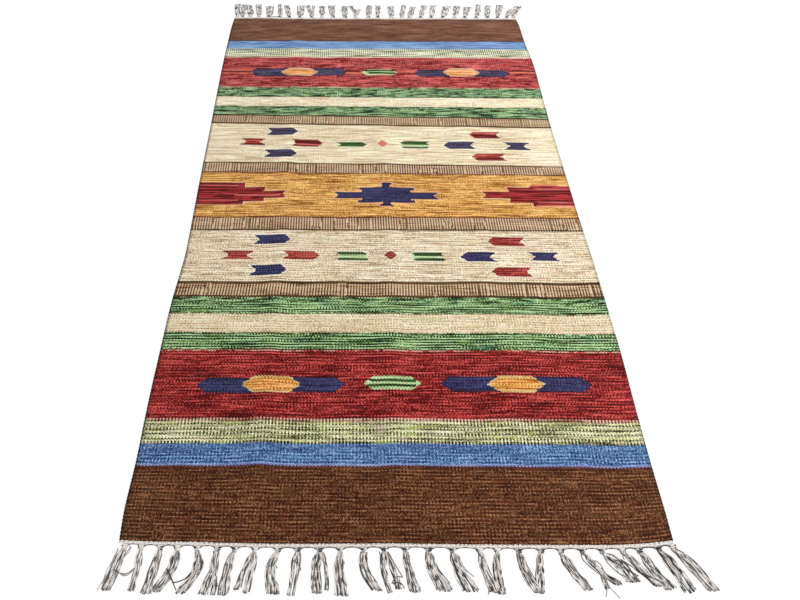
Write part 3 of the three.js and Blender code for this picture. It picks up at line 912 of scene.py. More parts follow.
@dataclass
class Weaver(Wiring):
    """The wiring of one stretch of the cloth, which works its colour out stitch by stitch.

    warp and along are the middle of the stitch under a point, row is its number along the
    rug, and odd is 1 on every second warp. streak, tone, lot and runs are noise from
    stitch to stitch and grain from fleck to fleck. relief and line follow the point; line
    is a painted highlight on each rib of picks and painted shade between the ribs.
    """

    finish: ClothFinish
    plan: RugPlan
    dome: float = 0.9
    tones: Patch = Patch(190.0, 30.0, 2.0)
    lots: Patch = Patch(52.0, 9.0)
    warm_spread: Spread = Spread(4.0, -0.3)
    cool_spread: Spread = Spread(-4.0, -0.3)
    lot_share: float = 0.55
    gaps: Patch = Patch(15.0, 40.0)
    gap_spread: Spread = Spread(-12.0, 0.2)
    # The rows' ribs: a painted highlight on their crests and painted shade between them.
    line_length: float = 1.3
    line_height: float = 9.0
    line_spread: Spread = Spread(4.0, 0.6)
    rib_highlight: float = 1.8
    rib_shade: float = -0.68
    lines_in_streak: float = 6.0
    misses: Patch = Patch(37.0, 260.0, roughness=0.5)
    miss_level: float = 0.6
    bars: Patch = Patch(9.0, 90.0, roughness=0.5)
    bar_spread: Spread = Spread(1.6, 0.9)
    bar_contrast: float = 1.15
    dotted_row: float = 3.0
    dot_spread: Spread = Spread(3.0, 1.0)
    dot_dark: float = -1.1
    dot_row_dark: float = -0.22
    dot_row_lift: float = 0.08
    near_teeth: float = 5.5
    far_teeth: float = 5.0
    teeth_dark_near: float = -0.9
    teeth_dark_far: float = -0.4
    turn_share: float = 0.5

    def __post_init__(self) -> None:
        """Starts the material and finds the stitch under each point."""
        super().__init__(bpy.data.materials.new(self.finish.name))
        self.find_stitches()

    def material(self) -> Material:
        """Returns the material: the bands, the figures over them and the painted shade of the grooves and
        selvedges.
        """
        colour = self.scaled(self.with_figures(self.bands_colour()), self.shading())
        return self.surface(colour, self.relief, self.finish.feel)

    def find_stitches(self) -> None:
        """Works out the stitch under a point (p, v) of the map "weave".

        The warp is round(p / pitch) and the row is round(v / height - odd / 2). The
        relief is the dome (1 - 0.9 a^2)(1 - 0.9 b^2), with a and b from -1 to 1 over the
        stitch. Two rows make one line, 1.8 c^2 - 0.68 where c is (1 + cos(pi v / height))
        / 2, which is firm here and faint there: a painted highlight on each rib of picks and
        painted shade between the ribs.
        """
        finish = self.finish
        p, v = self.map_place("weave")
        across = self.math("DIVIDE", p, finish.warp_pitch)
        nearest = self.math("ROUND", across)
        self.odd = self.math("FLOORED_MODULO", nearest, 2.0)
        rows = self.linear(self.odd, -0.5, self.math("DIVIDE", v, finish.stitch_height))
        self.row = self.math("ROUND", rows)
        self.warp = self.times(nearest, finish.warp_pitch)
        self.along = self.times(self.linear(self.odd, 0.5, self.row), finish.stitch_height)
        ply, pick = (self.math("ROUND", self.times(count, finish.flecks)) for count in (across, rows))
        scatter = self.add("TexWhiteNoise", self.vector(ply, pick), noise_dimensions="2D")
        self.grain = scatter.outputs["Value"]
        streaks = Patch(finish.streak_length, finish.streak_height, 2.0)
        lines = Patch(self.line_length * finish.streak_length, self.line_height)
        patches = (streaks, self.tones, self.lots, self.gaps, lines)
        self.streak, self.tone, self.lot, self.runs, firm = (
            self.noise(self.warp, self.along, patch) for patch in patches)
        wave = self.math("COSINE", self.times(v, math.pi / finish.stitch_height))
        crest = self.math("POWER", self.linear(wave, 0.5, 0.5), 2.0)
        line = self.linear(crest, self.rib_highlight, self.rib_shade)
        self.line = self.times(line, self.spread(firm, self.line_spread))
        domes = []
        for place, middle in ((across, nearest), (rows, self.row)):
            side = self.times(self.math("SUBTRACT", place, middle), 2.0)
            domes.append(self.linear(self.times(side, side), -self.dome, 1.0))
        self.relief = self.times(*domes)

    def yarn_colour(self, yarn: Yarn, lean: Value = 0.0) -> Socket:
        """Dyes a yarn: dark, middle or light by its level, then warm or cool by its lot.

        The level is 0.5 + lean + the sum of weight (part - 0.5) for the streak, tone,
        grain and the painted shade of every second warp, + the line of the row, its painted
        highlight and shade. At level 0.5 the yarn is its middle colour.

        Args:
            yarn: The yarn.
            lean: What to add to the level.

        Returns:
            The colour.
        """
        # Painted shade on every second warp.
        comb = yarn.comb * self.finish.warp_shading
        # Painted highlight and shade of the rows' ribs.
        ribs = self.finish.rib_shading * yarn.streak / self.lines_in_streak
        level: Value = self.math("ADD", lean, 0.5 - (yarn.streak + yarn.tone + yarn.grain - comb) / 2)
        parts = ((self.streak, yarn.streak), (self.tone, yarn.tone), (self.grain, yarn.grain),
                 (self.odd, -comb), (self.line, ribs))
        for part, weight in parts:
            level = self.linear(part, weight, level)
        low = self.blend(self.times(level, 2.0, clamp=True), dye(yarn.dark), dye(yarn.mid))
        colour = self.blend(self.linear(level, 2.0, -1.0, clamp=True), low, dye(yarn.light))
        for stray, spread in ((yarn.warm, self.warm_spread), (yarn.cool, self.cool_spread)):
            reached = self.spread(self.lot, spread)
            colour = self.blend(self.times(reached, self.lot_share), colour, dye(stray))
        return colour

    def band_colour(self, band: Band, end: float) -> Socket:
        """Dyes one band by its weave.

        Args:
            band: The band.
            end: Where the band stops.

        Returns:
            The colour.
        """
        if band.weave is Weave.BARRED:
            return self.barred(YARNS[band.yarn])
        if band.weave is Weave.DOTTED:
            return self.dotted(band, end)
        colour = self.yarn_colour(YARNS[band.yarn])
        if band.weave is Weave.BROKEN:
            gaps = self.spread(self.runs, self.gap_spread)
            colour = self.blend(gaps, colour, self.yarn_colour(YARNS[band.second]))
        return colour

    def barred(self, yarn: Yarn) -> Socket:
        """Dyes two picks turn about: odd warps show one yarn, even warps the other.

        Here and there the turn is missed, which swaps the bars, and elsewhere the two
        yarns are nearly alike.

        Args:
            yarn: The yarn whose light and dark colours are the two yarns.

        Returns:
            The colour.
        """
        missed = self.noise(self.warp, self.along, self.misses)
        swapped = self.math("GREATER_THAN", missed, self.miss_level)
        side = self.math("ABSOLUTE", self.math("SUBTRACT", self.odd, swapped))
        contrast = self.spread(self.noise(self.warp, self.along, self.bars), self.bar_spread)
        lean = self.times(self.math("SUBTRACT", side, 0.5), contrast)
        return self.yarn_colour(yarn, self.times(lean, self.bar_contrast))

    def dotted(self, band: Band, end: float) -> Socket:
        """Dyes pale rows: odd warps show dark in every third row and the toothed edges.

        The teeth of the edge that lies towards the middle of the rug have a second yarn.

        Args:
            band: The band.
            end: Where the band stops.

        Returns:
            The colour.
        """
        turn = self.math("FLOORED_MODULO", self.row, self.dotted_row)
        third = self.math("COMPARE", turn, self.dotted_row - 1, 0.3)
        edge_near = self.math("LESS_THAN", self.along, band.start + self.near_teeth)
        edge_far = self.math("GREATER_THAN", self.along, end - self.far_teeth)
        marked = self.math("MAXIMUM", third, self.math("MAXIMUM", edge_near, edge_far))
        dark = self.times(self.times(marked, self.odd), self.spread(self.runs, self.dot_spread))
        shade = self.linear(third, self.dot_row_dark, self.dot_row_lift)
        colour = self.yarn_colour(YARNS[band.yarn], self.linear(dark, self.dot_dark, shade))
        near = band.start < 0
        tooth = self.teeth_dark_near if near else self.teeth_dark_far
        toothed = self.yarn_colour(YARNS[band.second], self.times(dark, tooth))
        return self.blend(edge_far if near else edge_near, colour, toothed)

    def bands_colour(self) -> Socket:
        """Lays the bands that this stretch crosses, each over the last from its start on.

        Returns:
            The colour.
        """
        colour: Optional[Socket] = None
        for band, end in zip(BANDS, [band.start for band in BANDS[1:]] + [CLOTH_STRETCHES[-1].finish]):
            if self.finish.crosses(band.start, end):
                own = self.band_colour(band, end)
                begun = self.math("GREATER_THAN", self.along, band.start)
                colour = own if colour is None else self.blend(begun, colour, own)
        return colour

    def with_figures(self, ground: Socket) -> Socket:
        """Weaves the figures of this stretch over the bands, in the table's order.

        A figure's stitches are those whose depth inside it is over 0. Those near its edge
        are darker by its rim, a painted shade, and the locking stitches lie just outside it.

        Args:
            ground: The colour of the bands.

        Returns:
            The colour.
        """
        finish = self.finish
        colour = ground
        dyed: dict[str, Socket] = {}
        for item in FIGURES:
            if not any(finish.crosses(shape.middle, shape.middle) for shape in item.shapes):
                continue
            for label in filter(None, (item.yarn, item.halo)):
                if label not in dyed:
                    dyed[label] = self.yarn_colour(YARNS[label])
            depth = self.depth_inside(item.shapes[0])
            for shape in item.shapes[1:]:
                depth = self.math("MAXIMUM", depth, self.depth_inside(shape))
            if item.halo:
                near = self.math("GREATER_THAN", depth, -finish.halo_width)
                colour = self.blend(self.times(near, finish.halo_share), colour, dyed[item.halo])
            own = dyed[item.yarn]
            if item.rim:
                # Painted shade along the figure's edge; its inside is a little lighter.
                edge = self.math("LESS_THAN", depth, finish.rim_width)
                darker = self.linear(edge, -finish.rim_shade * item.rim, 1.0 + finish.rim_lift * item.rim)
                own = self.scaled(own, darker)
            colour = self.blend(self.math("GREATER_THAN", depth, 0.0), colour, own)
        return colour

    def depth_inside(self, shape: Shape) -> Socket:
        """Works out how far a stitch is inside a shape, in millimetres.

        It is the least of h - |v - m|, (p - left - offset) and (right - offset - p). The
        offset is cut |v - m| / h at a point and cut (1 - |v - m| / h) at a notch.

        Args:
            shape: The shape, placed on the laid rug.

        Returns:
            The depth, which is below 0 outside.
        """
        plan = self.plan
        half = plan.half_width
        centre = (max(shape.left, -half) + min(shape.right, half)) / 2
        middle = float(plan.weft_place(centre, shape.middle))
        away = self.math("ABSOLUTE", self.math("SUBTRACT", self.along, middle))
        limits = [self.math("SUBTRACT", shape.half_height, away)]
        for x, cut, sign in ((shape.left, shape.left_cut, 1), (shape.right, shape.right_cut, -1)):
            base = shape.cut if cut is Cut.NOTCH else 0.0
            offset = self.linear(away, cut.value * shape.cut / shape.half_height, base)
            reach = self.linear(self.warp, sign, -sign * float(plan.warp_at(x, shape.middle)))
            limits.append(self.math("SUBTRACT", reach, offset))
        return self.math("MINIMUM", self.math("MINIMUM", limits[0], limits[1]), limits[2])

    def shading(self) -> Socket:
        """Paints shade in the grooves between stitches, and in two rows in three at the selvedges.

        Returns:
            What to scale the colour by.
        """
        finish = self.finish
        # Painted shade: darker in the grooves round each stitch, a little lighter on its crown.
        grooves = self.linear(self.relief, finish.groove_shade, 1.0 - 0.5 * finish.groove_shade)
        # Painted shade at the selvedges, fuller in two rows of every three, deeper on the left, away from the
        # lamp.
        two_in_three = self.math("LESS_THAN", self.math("FLOORED_MODULO", self.row, 3.0), 1.5)
        turn = self.linear(two_in_three, 1 - self.turn_share, self.turn_share)
        outer = -finish.selvedge_warp / finish.cord_width + 0.5
        left = self.linear(self.warp, -1 / finish.cord_width, outer, clamp=True)
        right = self.linear(self.warp, 1 / finish.cord_width, outer, clamp=True)
        edge = self.linear(right, finish.selvedge_right_shade, self.times(left, finish.selvedge_left_shade))
        return self.times(grooves, self.math("SUBTRACT", 1.0, self.times(edge, turn)))


CLOTH_STRETCHES = [ClothFinish(f"cloth_{name}", *sizes) for name, *sizes in (
    ("brown_border_near", -800, -650, 2.6, 36, 1.8),
    ("blue_border_near", -650, -606, 2.8, 50, 2.0, 1.2),
    ("pale_border_near", -606, -534, 3.0, 110, 0.6),
    ("red_near", -534, -424, 2.4, 80, 0.8),
    ("green_and_cream_near", -424, -302, 2.2, 110, 1.4),
    ("barred_near", -302, -262, 3.4, 60, 0.4),
    ("cream_field_near", -262, -88, 3.2, 70, 1.2),
    ("mustard_middle", -88, 88, 3.0, 80, 0.9),
    ("cream_field_far", 88, 266, 3.2, 90, 1.0, 1.3),
    ("barred_far", 266, 303, 5.0, 76, 0.4),
    ("green_and_cream_far", 303, 420, 4.0, 48, 0.5, 2.4, 1.3),
    ("red_far", 420, 528, 4.2, 62, 0.5, 2.4, 1.3),
    ("pale_border_far", 528, 606, 5.2, 85, 0.6, 2.0),
    ("blue_border_far", 606, 645, 5.6, 60, 1.3, 1.8),
    ("brown_border_far", 645, 800, 6.0, 80, 1.4, 2.0),
)]


# ---- the woven field


class Strip(NamedTuple):
    """A rectangle of the map "OFBake"."""

    left: float
    right: float
    low: float
    high: float


@dataclass
class WovenField:
    """The woven field: one closed sheet with rounded selvedges and soft storage creases."""

    plan: RugPlan
    rows: int = 1000
    flat_columns: int = 42
    under_columns: int = 20
    fold_columns: int = 8
    least_spacing: float = 1.4
    cord_warps: tuple[float, ...] = (-446.5, -444.0, 444.0, 446.5)
    rim_points: int = 5
    rim_warp: float = 441.0
    rim_width: float = 7.0
    rib_pitch: float = 6.0
    rib_height: float = 0.16
    rib_unevenness: float = 0.3
    rib_waves: tuple[Wave, Wave] = (Wave(1.0, 37.0, 11.3), Wave(1.0, -90.0, 29.0))
    cord_height: float = 0.35
    sink: float = 0.1
    scallop: float = 0.35
    scallop_turn: float = 0.4
    ripple: float = 0.22
    ripple_lengths: Pair = (31.0, 57.0)
    ripple_wave: Wave = Wave(1.0, 120.0, 43.0)
    strips: tuple[Strip, ...] = (
        Strip(0.0, 0.6, 0.0, 1.0), Strip(0.62, 0.64, 0.67, 0.99),
        Strip(0.62, 0.99, 0.0, 0.62), Strip(0.67, 0.69, 0.67, 0.99),
    )
    cap_place: Pair = (0.85, 0.7)
    cap_scale: Pair = (3600.0, 0.03)

    def top_warps(self) -> Array:
        """Works out the warps of the upper side's columns: even, and closer on each fold.

        Returns:
            The warps in order, with none closer together than the least spacing.
        """
        inner = self.plan.half_width - self.plan.thickness / 2
        warps = [np.linspace(-inner, inner, self.flat_columns), self.cord_warps]
        for fold in FOLDS:
            warps.append(fold.warp + fold.reach * np.linspace(-1, 1, self.fold_columns + 1)[:-1])
        warps = np.sort(np.concatenate(warps))
        return warps[np.concatenate([[True], np.diff(warps) > self.least_spacing])]

    def section(self) -> tuple[Array, Array, Array]:
        """Works out the loop around the cloth's section, seen from the near end.

        It runs left to right over the top, round the right selvedge, back underneath and
        round the left selvedge. The rims are half circles of the cloth's thickness.

        Returns:
            The warp of each point, its height as a share of the thickness, and how many
            points each of the four stretches has.
        """
        radius = self.plan.thickness / 2
        top = self.top_warps()
        inner = self.plan.half_width - radius
        under = np.linspace(inner, -inner, self.under_columns)
        turn = np.linspace(math.pi / 2, -math.pi / 2, self.rim_points + 2)[1:-1]
        right = inner + radius * np.cos(turn)
        warps = np.concatenate([top, right, under, -right])
        heights = np.concatenate([np.ones(len(top)), 0.5 + 0.5 * np.sin(turn), np.zeros(len(under)),
                                  0.5 - 0.5 * np.sin(turn)])
        return warps, heights, np.array([len(top), len(right), len(under), len(right)])

    def points(self, warps: Array, heights: Array) -> tuple[Array, Array]:
        """Places the sheet's points.

        Each row lies at an even share between the two woven ends. The upper side has the
        ribs of the wefts, cos(2 pi weft / pitch), the selvedge cords and a slight ripple,
        and the selvedges go in and out with the ribs.

        Args:
            warps: The warp of each point of the section.
            heights: Its height as a share of the thickness.

        Returns:
            The points, row by row, and their nominal weft places.
        """
        plan = self.plan
        share = np.linspace(0, 1, self.rows)[:, None]
        start = plan.near_end(plan.across(warps, SELVEDGES[0].along))
        finish = plan.far_end(plan.across(warps, SELVEDGES[-1].along))
        y = lerp(start, finish, share)
        warp = np.broadcast_to(warps, y.shape)
        x = plan.across(warp, y)
        weft = plan.weft_place(x, y)
        rim = ramp(np.abs(warp), self.rim_warp, self.rim_width)
        turn = 2 * math.pi * weft / self.rib_pitch
        least = 1 - self.rib_unevenness
        uneven = least + self.rib_unevenness * self.rib_waves[0].at(x, weft) * self.rib_waves[1].at(x, weft)
        rib = self.rib_height * uneven * np.cos(turn)
        cord = self.cord_height * rim * (least + self.rib_unevenness * np.cos(turn))
        across, along = self.ripple_lengths
        ripple = self.ripple * np.sin(x / across + np.sin(y / along)) * self.ripple_wave.at(x, y)
        upper = plan.thickness + rib + cord - self.sink + ripple * (1 - rim)
        z = plan.lift(warp, y) + heights * upper
        x = x + np.sign(warp) * self.scallop * rim * np.cos(turn + self.scallop_turn * x)
        return np.stack([x, y, z], axis=-1).reshape(-1, 3), weft

    def build(self) -> Object:
        """Builds the field with its finishes.

        The map "OFBake" has a strip for each of the four stretches of the section.

        Returns:
            The field's object.
        """
        warps, heights, counts = self.section()
        points, weft = self.points(warps, heights)
        around = len(warps)
        starts = np.concatenate([[0], np.cumsum(counts)])
        share = np.linspace(0, 1, self.rows)
        borders = np.array([stretch.start for stretch in CLOTH_STRETCHES[1:]])
        quads, weave_map, bake_map, finish_index = [], [], [], []
        for k, strip in enumerate(self.strips):
            # A rim shares the first and last points with the sides next to it.
            shared = k % 2
            loop = np.arange(starts[k] - shared, starts[k + 1] + shared) % around
            columns = len(loop)
            local = grid_quads(self.rows, columns)
            row, column = local // columns, local % columns
            quads.append(row * around + loop[column])
            weave_map.append(np.stack([warps[loop][column], weft[row, loop[column]]], axis=-1))
            u = lerp(strip.left, strip.right, np.linspace(0, 1, columns)[column])
            bake_map.append(np.stack([u, lerp(strip.low, strip.high, share[row])], axis=-1))
            middle = weft[row, loop[column]].mean(axis=1)
            finish_index.append(np.searchsorted(borders, middle, side="right"))
        finish_index.append(np.array([0, len(CLOTH_STRETCHES) - 1]))
        last_ring = (self.rows - 1) * around
        cap_warps = np.concatenate([warps[::-1], warps])
        cap_weft = np.concatenate([weft[0, ::-1], weft[-1]])
        cap_heights = np.concatenate([heights[::-1], 2 + heights])
        cap_u = self.cap_place[0] + cap_warps / self.cap_scale[0]
        cap_v = self.cap_place[1] + self.cap_scale[1] * cap_heights
        parts = MeshParts(
            points=points,
            quads=np.concatenate(quads),
            maps={"weave": np.concatenate(weave_map), "OFBake": np.concatenate(bake_map)},
            caps=[list(range(around - 1, -1, -1)), list(range(last_ring, last_ring + around))],
            cap_maps={"weave": np.stack([cap_warps, cap_weft], axis=-1),
                      "OFBake": np.stack([cap_u, cap_v], axis=-1)},
            finish_index=np.concatenate(finish_index),
        )
        finishes = [stretch.build(self.plan) for stretch in CLOTH_STRETCHES]
        return parts.to_object("kilim_field", self.plan, finishes)


# ---- strands


@dataclass
class Strands:
    """Round strands that follow paths: a tube of a few sides around each path.

    Every strand has its own strip in the map "OFBake", cut into pieces if it is long, and
    the map "ply" runs along it in millimetres and around it.
    """

    paths: Array
    radii: Array
    marks: Array
    sides: int = 6
    columns: int = 4
    pieces: int = 1
    strip_margins: Pair = (0.02, 0.12)
    cap_margin: float = 0.008
    cap_size: Pair = (0.007, 0.3)

    def rings(self, turn: Array) -> Array:
        """Places a ring of points round each station of each path.

        A point is path + r (side cos t + up sin t), where side is level and square to the
        path.

        Args:
            turn: The angles t round a ring.

        Returns:
            The points, as strands by stations by points by coordinates.
        """
        tangents = unit(np.gradient(self.paths, axis=1))
        side = unit(np.cross(tangents, np.array([0.0, 0.0, 1.0])))
        up = np.cross(side, tangents)
        ring = side[:, :, None] * np.cos(turn)[:, None] + up[:, :, None] * np.sin(turn)[:, None]
        return self.paths[:, :, None] + ring * self.radii[:, :, None, None]

    def cap_maps(self, turn: Array, travelled: Array, grid_rows: int) -> dict[str, Array]:
        """Lays the maps of the strands' two ends, each as a small round.

        Args:
            turn: The angles round a ring.
            travelled: How far along its path each station is.
            grid_rows: Rows of strips in the map "OFBake".

        Returns:
            The maps' values, two ends a strand.
        """
        count = len(self.paths)
        cells = np.arange(count) * self.pieces
        knob = np.stack([np.cos(turn), np.sin(turn)], axis=-1)
        size = np.array(self.cap_size) / (self.columns, grid_rows)
        ends = ((cells, self.cap_margin, 1, travelled[:, 0]),
                (cells + self.pieces - 1, 1 - self.cap_margin, -1, travelled[:, -1]))
        ply, bake = [], []
        for cell, share, order, reach in ends:
            u = (cell % self.columns + share) / self.columns
            v = (cell // self.columns + 0.5) / grid_rows
            bake.append(np.stack([u, v], axis=-1)[:, None] + knob[::order] * size)
            ply.append(np.stack(np.broadcast_arrays(reach[:, None], turn / (2 * math.pi)), axis=-1))
        return {"ply": np.stack(ply, axis=1).reshape(-1, 2), "OFBake": np.stack(bake, axis=1).reshape(-1, 2)}

    def parts(self) -> MeshParts:
        """Works the tubes out.

        Returns:
            The arrays of all the strands as one mesh.
        """
        count, stations = self.paths.shape[:2]
        turn = np.linspace(0, 2 * math.pi, self.sides, endpoint=False)
        steps = np.linalg.norm(np.diff(self.paths, axis=1), axis=-1)
        travelled = np.concatenate([np.zeros((count, 1)), np.cumsum(steps, axis=1)], axis=1)
        local = grid_quads(stations, self.sides + 1)
        row, column = local // (self.sides + 1), local % (self.sides + 1)
        face = row * self.sides + column % self.sides
        strand = np.arange(count)[:, None, None]
        around = np.broadcast_to(column / self.sides, (count,) + column.shape)
        per_piece = math.ceil((stations - 1) / self.pieces)
        piece = row.min(axis=1, keepdims=True) // per_piece
        cell = strand * self.pieces + piece
        grid_rows = math.ceil(count * self.pieces / self.columns)
        inset, inset_around = self.strip_margins
        share = inset + (1 - 2 * inset) * (row - piece * per_piece) / per_piece
        share_around = inset_around + (1 - 2 * inset_around) * column / self.sides
        bake = np.stack([(cell % self.columns + share) / self.columns,
                         (cell // self.columns + share_around) / grid_rows], axis=-1)
        caps = []
        for first in range(0, count * stations * self.sides, stations * self.sides):
            last = first + (stations - 1) * self.sides
            caps += [list(range(first, first + self.sides)), list(range(last + self.sides - 1, last - 1, -1))]
        return MeshParts(
            points=self.rings(turn).reshape(-1, 3),
            quads=(face + strand * stations * self.sides).reshape(-1, 4),
            maps={"ply": np.stack([travelled[:, row], around], axis=-1).reshape(-1, 2),
                  "OFBake": bake.reshape(-1, 2)},
            caps=caps,
            cap_maps=self.cap_maps(turn, travelled, grid_rows),
            tints={"yarn": np.repeat(self.marks[:, :, None], self.sides, axis=2).reshape(-1, 4)},
        )


def through_points(knots: Array, stations: Array) -> Array:
    """Lays smooth paths through rows of points.

    Between points b and c it is the Catmull-Rom cubic of a, b, c and d:
    0.5 (2b + (c - a) t + (2a - 5b + 4c - d) t^2 + (3b - a - 3c + d) t^3).

    Args:
        knots: The points, as strands by points by coordinates.
        stations: Where to read the path, from 0 to the number of points less one.

    Returns:
        The path points, as strands by stations by coordinates.
    """
    before, after = 2 * knots[:, :1] - knots[:, 1:2], 2 * knots[:, -1:] - knots[:, -2:-1]
    padded = np.concatenate([before, knots, after], axis=1)
    k = np.minimum(stations.astype(int), knots.shape[1] - 2)
    t = (stations - k)[None, :, None]
    a, b, c, d = (padded[:, k + step] for step in range(4))
    return 0.5 * (2 * b + (c - a) * t + (2 * a - 5 * b + 4 * c - d) * t**2 + (3 * b - a - 3 * c + d) * t**3)


@dataclass(frozen=True)
class CottonFinish:
    """Undyed cotton cord: plies wound round each other, greyer in the shade and at cuts.

    It reads the map "ply" and the attribute "yarn": lightness, dark mark and end darkness.
    The dark mark is painted shade on the fringe, and darker places on the heading.
    """

    name: str
    light: int
    shade: int
    dark_mark: int
    ply_pitch: float = 3.4
    plies: float = 2.0
    groove_shade: float = 0.35
    feel: Feel = Feel(0.00025, 0.9, 0.05)
    fuzz: Patch = Patch(3.0, 1.0, 2.0, 0.7)
    fuzz_scatter: float = 40.0
    fuzz_strength: float = 1.3

    def build(self) -> Material:
        """Builds the material.

        The plies are ridges |sin(pi (plies around + along / pitch))|, and the cord is its
        light colour where its lightness and the fuzz of its fibres are high. It is darker in
        the valleys between the plies, a painted shade.

        Returns:
            The material.
        """
        wiring = Wiring(bpy.data.materials.new(self.name))
        along, around = wiring.map_place("ply")
        attribute = wiring.add("Attribute", attribute_name="yarn").outputs["Color"]
        marks = wiring.add("SeparateColor", attribute)
        lightness, dark_mark, ends = marks.outputs[0], marks.outputs[1], marks.outputs[2]
        wound = wiring.linear(around, self.plies, wiring.math("DIVIDE", along, self.ply_pitch))
        ridge = wiring.math("ABSOLUTE", wiring.math("SINE", wiring.times(wound, math.pi)))
        fuzz = wiring.noise(along, wiring.linear(lightness, self.fuzz_scatter, around), self.fuzz)
        base = wiring.math("SUBTRACT", lightness, self.fuzz_strength / 2)
        level = wiring.linear(fuzz, self.fuzz_strength, base)
        colour = wiring.blend(level, dye(self.shade), dye(self.light))
        # The dark mark: painted shade on the fringe's strands, darker places on the heading.
        colour = wiring.blend(wiring.math("MAXIMUM", dark_mark, ends), colour, dye(self.dark_mark))
        # Painted shade in the valleys between the plies.
        colour = wiring.scaled(colour, wiring.linear(ridge, self.groove_shade, 1.0 - self.groove_shade))
        return wiring.surface(colour, ridge, self.feel)


# ---- headings


@dataclass
class TwinedHeading:
    """A heading across one end: rows of two cotton strands twined round each other."""

    plan: RugPlan
    which: End
    rows: int = 2
    row_pitch: float = 1.9
    row_turn: float = 1.3
    strand_radius: float = 0.85
    wind_across: float = 0.5
    wind_up: float = 0.75
    wind_pitch: float = 7.4
    wind_drift: float = 0.5
    wind_drift_length: float = 23.0
    step: float = 1.0
    width: float = 3.9
    inset: float = 0.6
    clearance: float = 0.15
    tooth: float = 0.9
    tooth_rise: float = 0.5
    tooth_length: float = 1.15
    tooth_drift: float = 2.5
    tooth_drift_length: float = 19.0
    tooth_group: float = 7.3
    tooth_strength: float = 1.4
    dark_strength: float = 1.5
    first_row_dark: float = 0.9
    other_row_dark: float = 0.15
    patch_lengths: Pair = (9.0, 31.0)
    least_light: float = 0.75
    columns: int = 1
    pieces: int = 10

    def build(self, finish: Material) -> Object:
        """Builds the heading.

        A strand winds about its row: out += a cos(2 pi x / pitch + phase) and
        z += b sin(2 pi x / pitch + phase). The row beside the weave bites into it here and
        there, and is dark in between.

        Args:
            finish: The cotton finish.

        Returns:
            The heading's object.
        """
        plan = self.plan
        near = self.which is End.NEAR
        corner = SELVEDGES[0] if near else SELVEDGES[-1]
        stations = int((corner.right - corner.left) / self.step)
        x = np.linspace(corner.left + self.inset, corner.right - self.inset, stations)
        teeth = np.sin(x / self.tooth_length + self.tooth_drift * np.sin(x / self.tooth_drift_length))
        bites = smooth(self.tooth_strength * teeth * np.sin(x / self.tooth_group))
        paths, marks = [], []
        generator = np.random.default_rng(7 if near else 8)
        first = plan.gap + (self.width - (self.rows - 1) * self.row_pitch) / 2
        for row in range(self.rows):
            bite, dark = (bites, self.first_row_dark) if row == 0 else (0 * x, self.other_row_dark)
            for strand in range(2):
                phase = 2 * math.pi * x / self.wind_pitch + math.pi * strand + self.row_turn * row
                phase = phase + self.wind_drift * np.sin(x / self.wind_drift_length + row)
                out = first + row * self.row_pitch + self.wind_across * np.cos(phase) - self.tooth * bite
                y = plan.end(self.which, x) + self.which.value * out
                z = self.strand_radius + self.wind_up * (1 + np.sin(phase))
                z = z + plan.lift(plan.warp_at(x, y), y) + self.clearance + self.tooth_rise * bite
                paths.append(np.stack([x, y, z], axis=-1))
                slow = np.sin(x / self.patch_lengths[0] + generator.uniform(0, 6))
                patches = 0.5 + 0.5 * slow * np.sin(x / self.patch_lengths[1] + strand)
                light = lerp(self.least_light, 1, patches)
                low = smooth(-self.dark_strength * teeth) * patches * dark
                marks.append(np.stack([light, low, 0 * x, 0 * x + 1], axis=-1))
        radii = np.full((2 * self.rows, len(x)), self.strand_radius)
        strands = Strands(np.array(paths), radii, np.array(marks), columns=self.columns, pieces=self.pieces)
        return strands.parts().to_object(f"twined_heading_{self.which.name.lower()}", plan, [finish])


# ---- fringes


class Bundle(NamedTuple):
    """Part of a tassel that goes its own way: which tassel, its weight, and how it lies."""

    tassel: int
    weight: int
    bend: float
    tip: float
    reach: float
    belly: float
    flare: float


class Stray(NamedTuple):
    """A single strand on its own: four places across and out from the woven end, and its painted shade."""

    x0: float
    out0: float
    x1: float
    out1: float
    x2: float
    out2: float
    x3: float
    out3: float
    dark_mark: float


NEAR_BUNDLES = [Bundle(*row) for row in (
    (7, 5, -244, -255, 61, 9, 8), (7, 7, -234, -240, 65, 13, 12),
    (10, 9, -131, -129, 65, 16, 18), (10, 3, -115, -113, 61, 6, 7),
    (13, 6, -24, -15, 65, 11, 9), (13, 5, -9, 0, 60, 10, 9),
    (22, 8, 314, 344, 52, 11, 12), (22, 2, 318, 325, 58, 5, 9),
)]

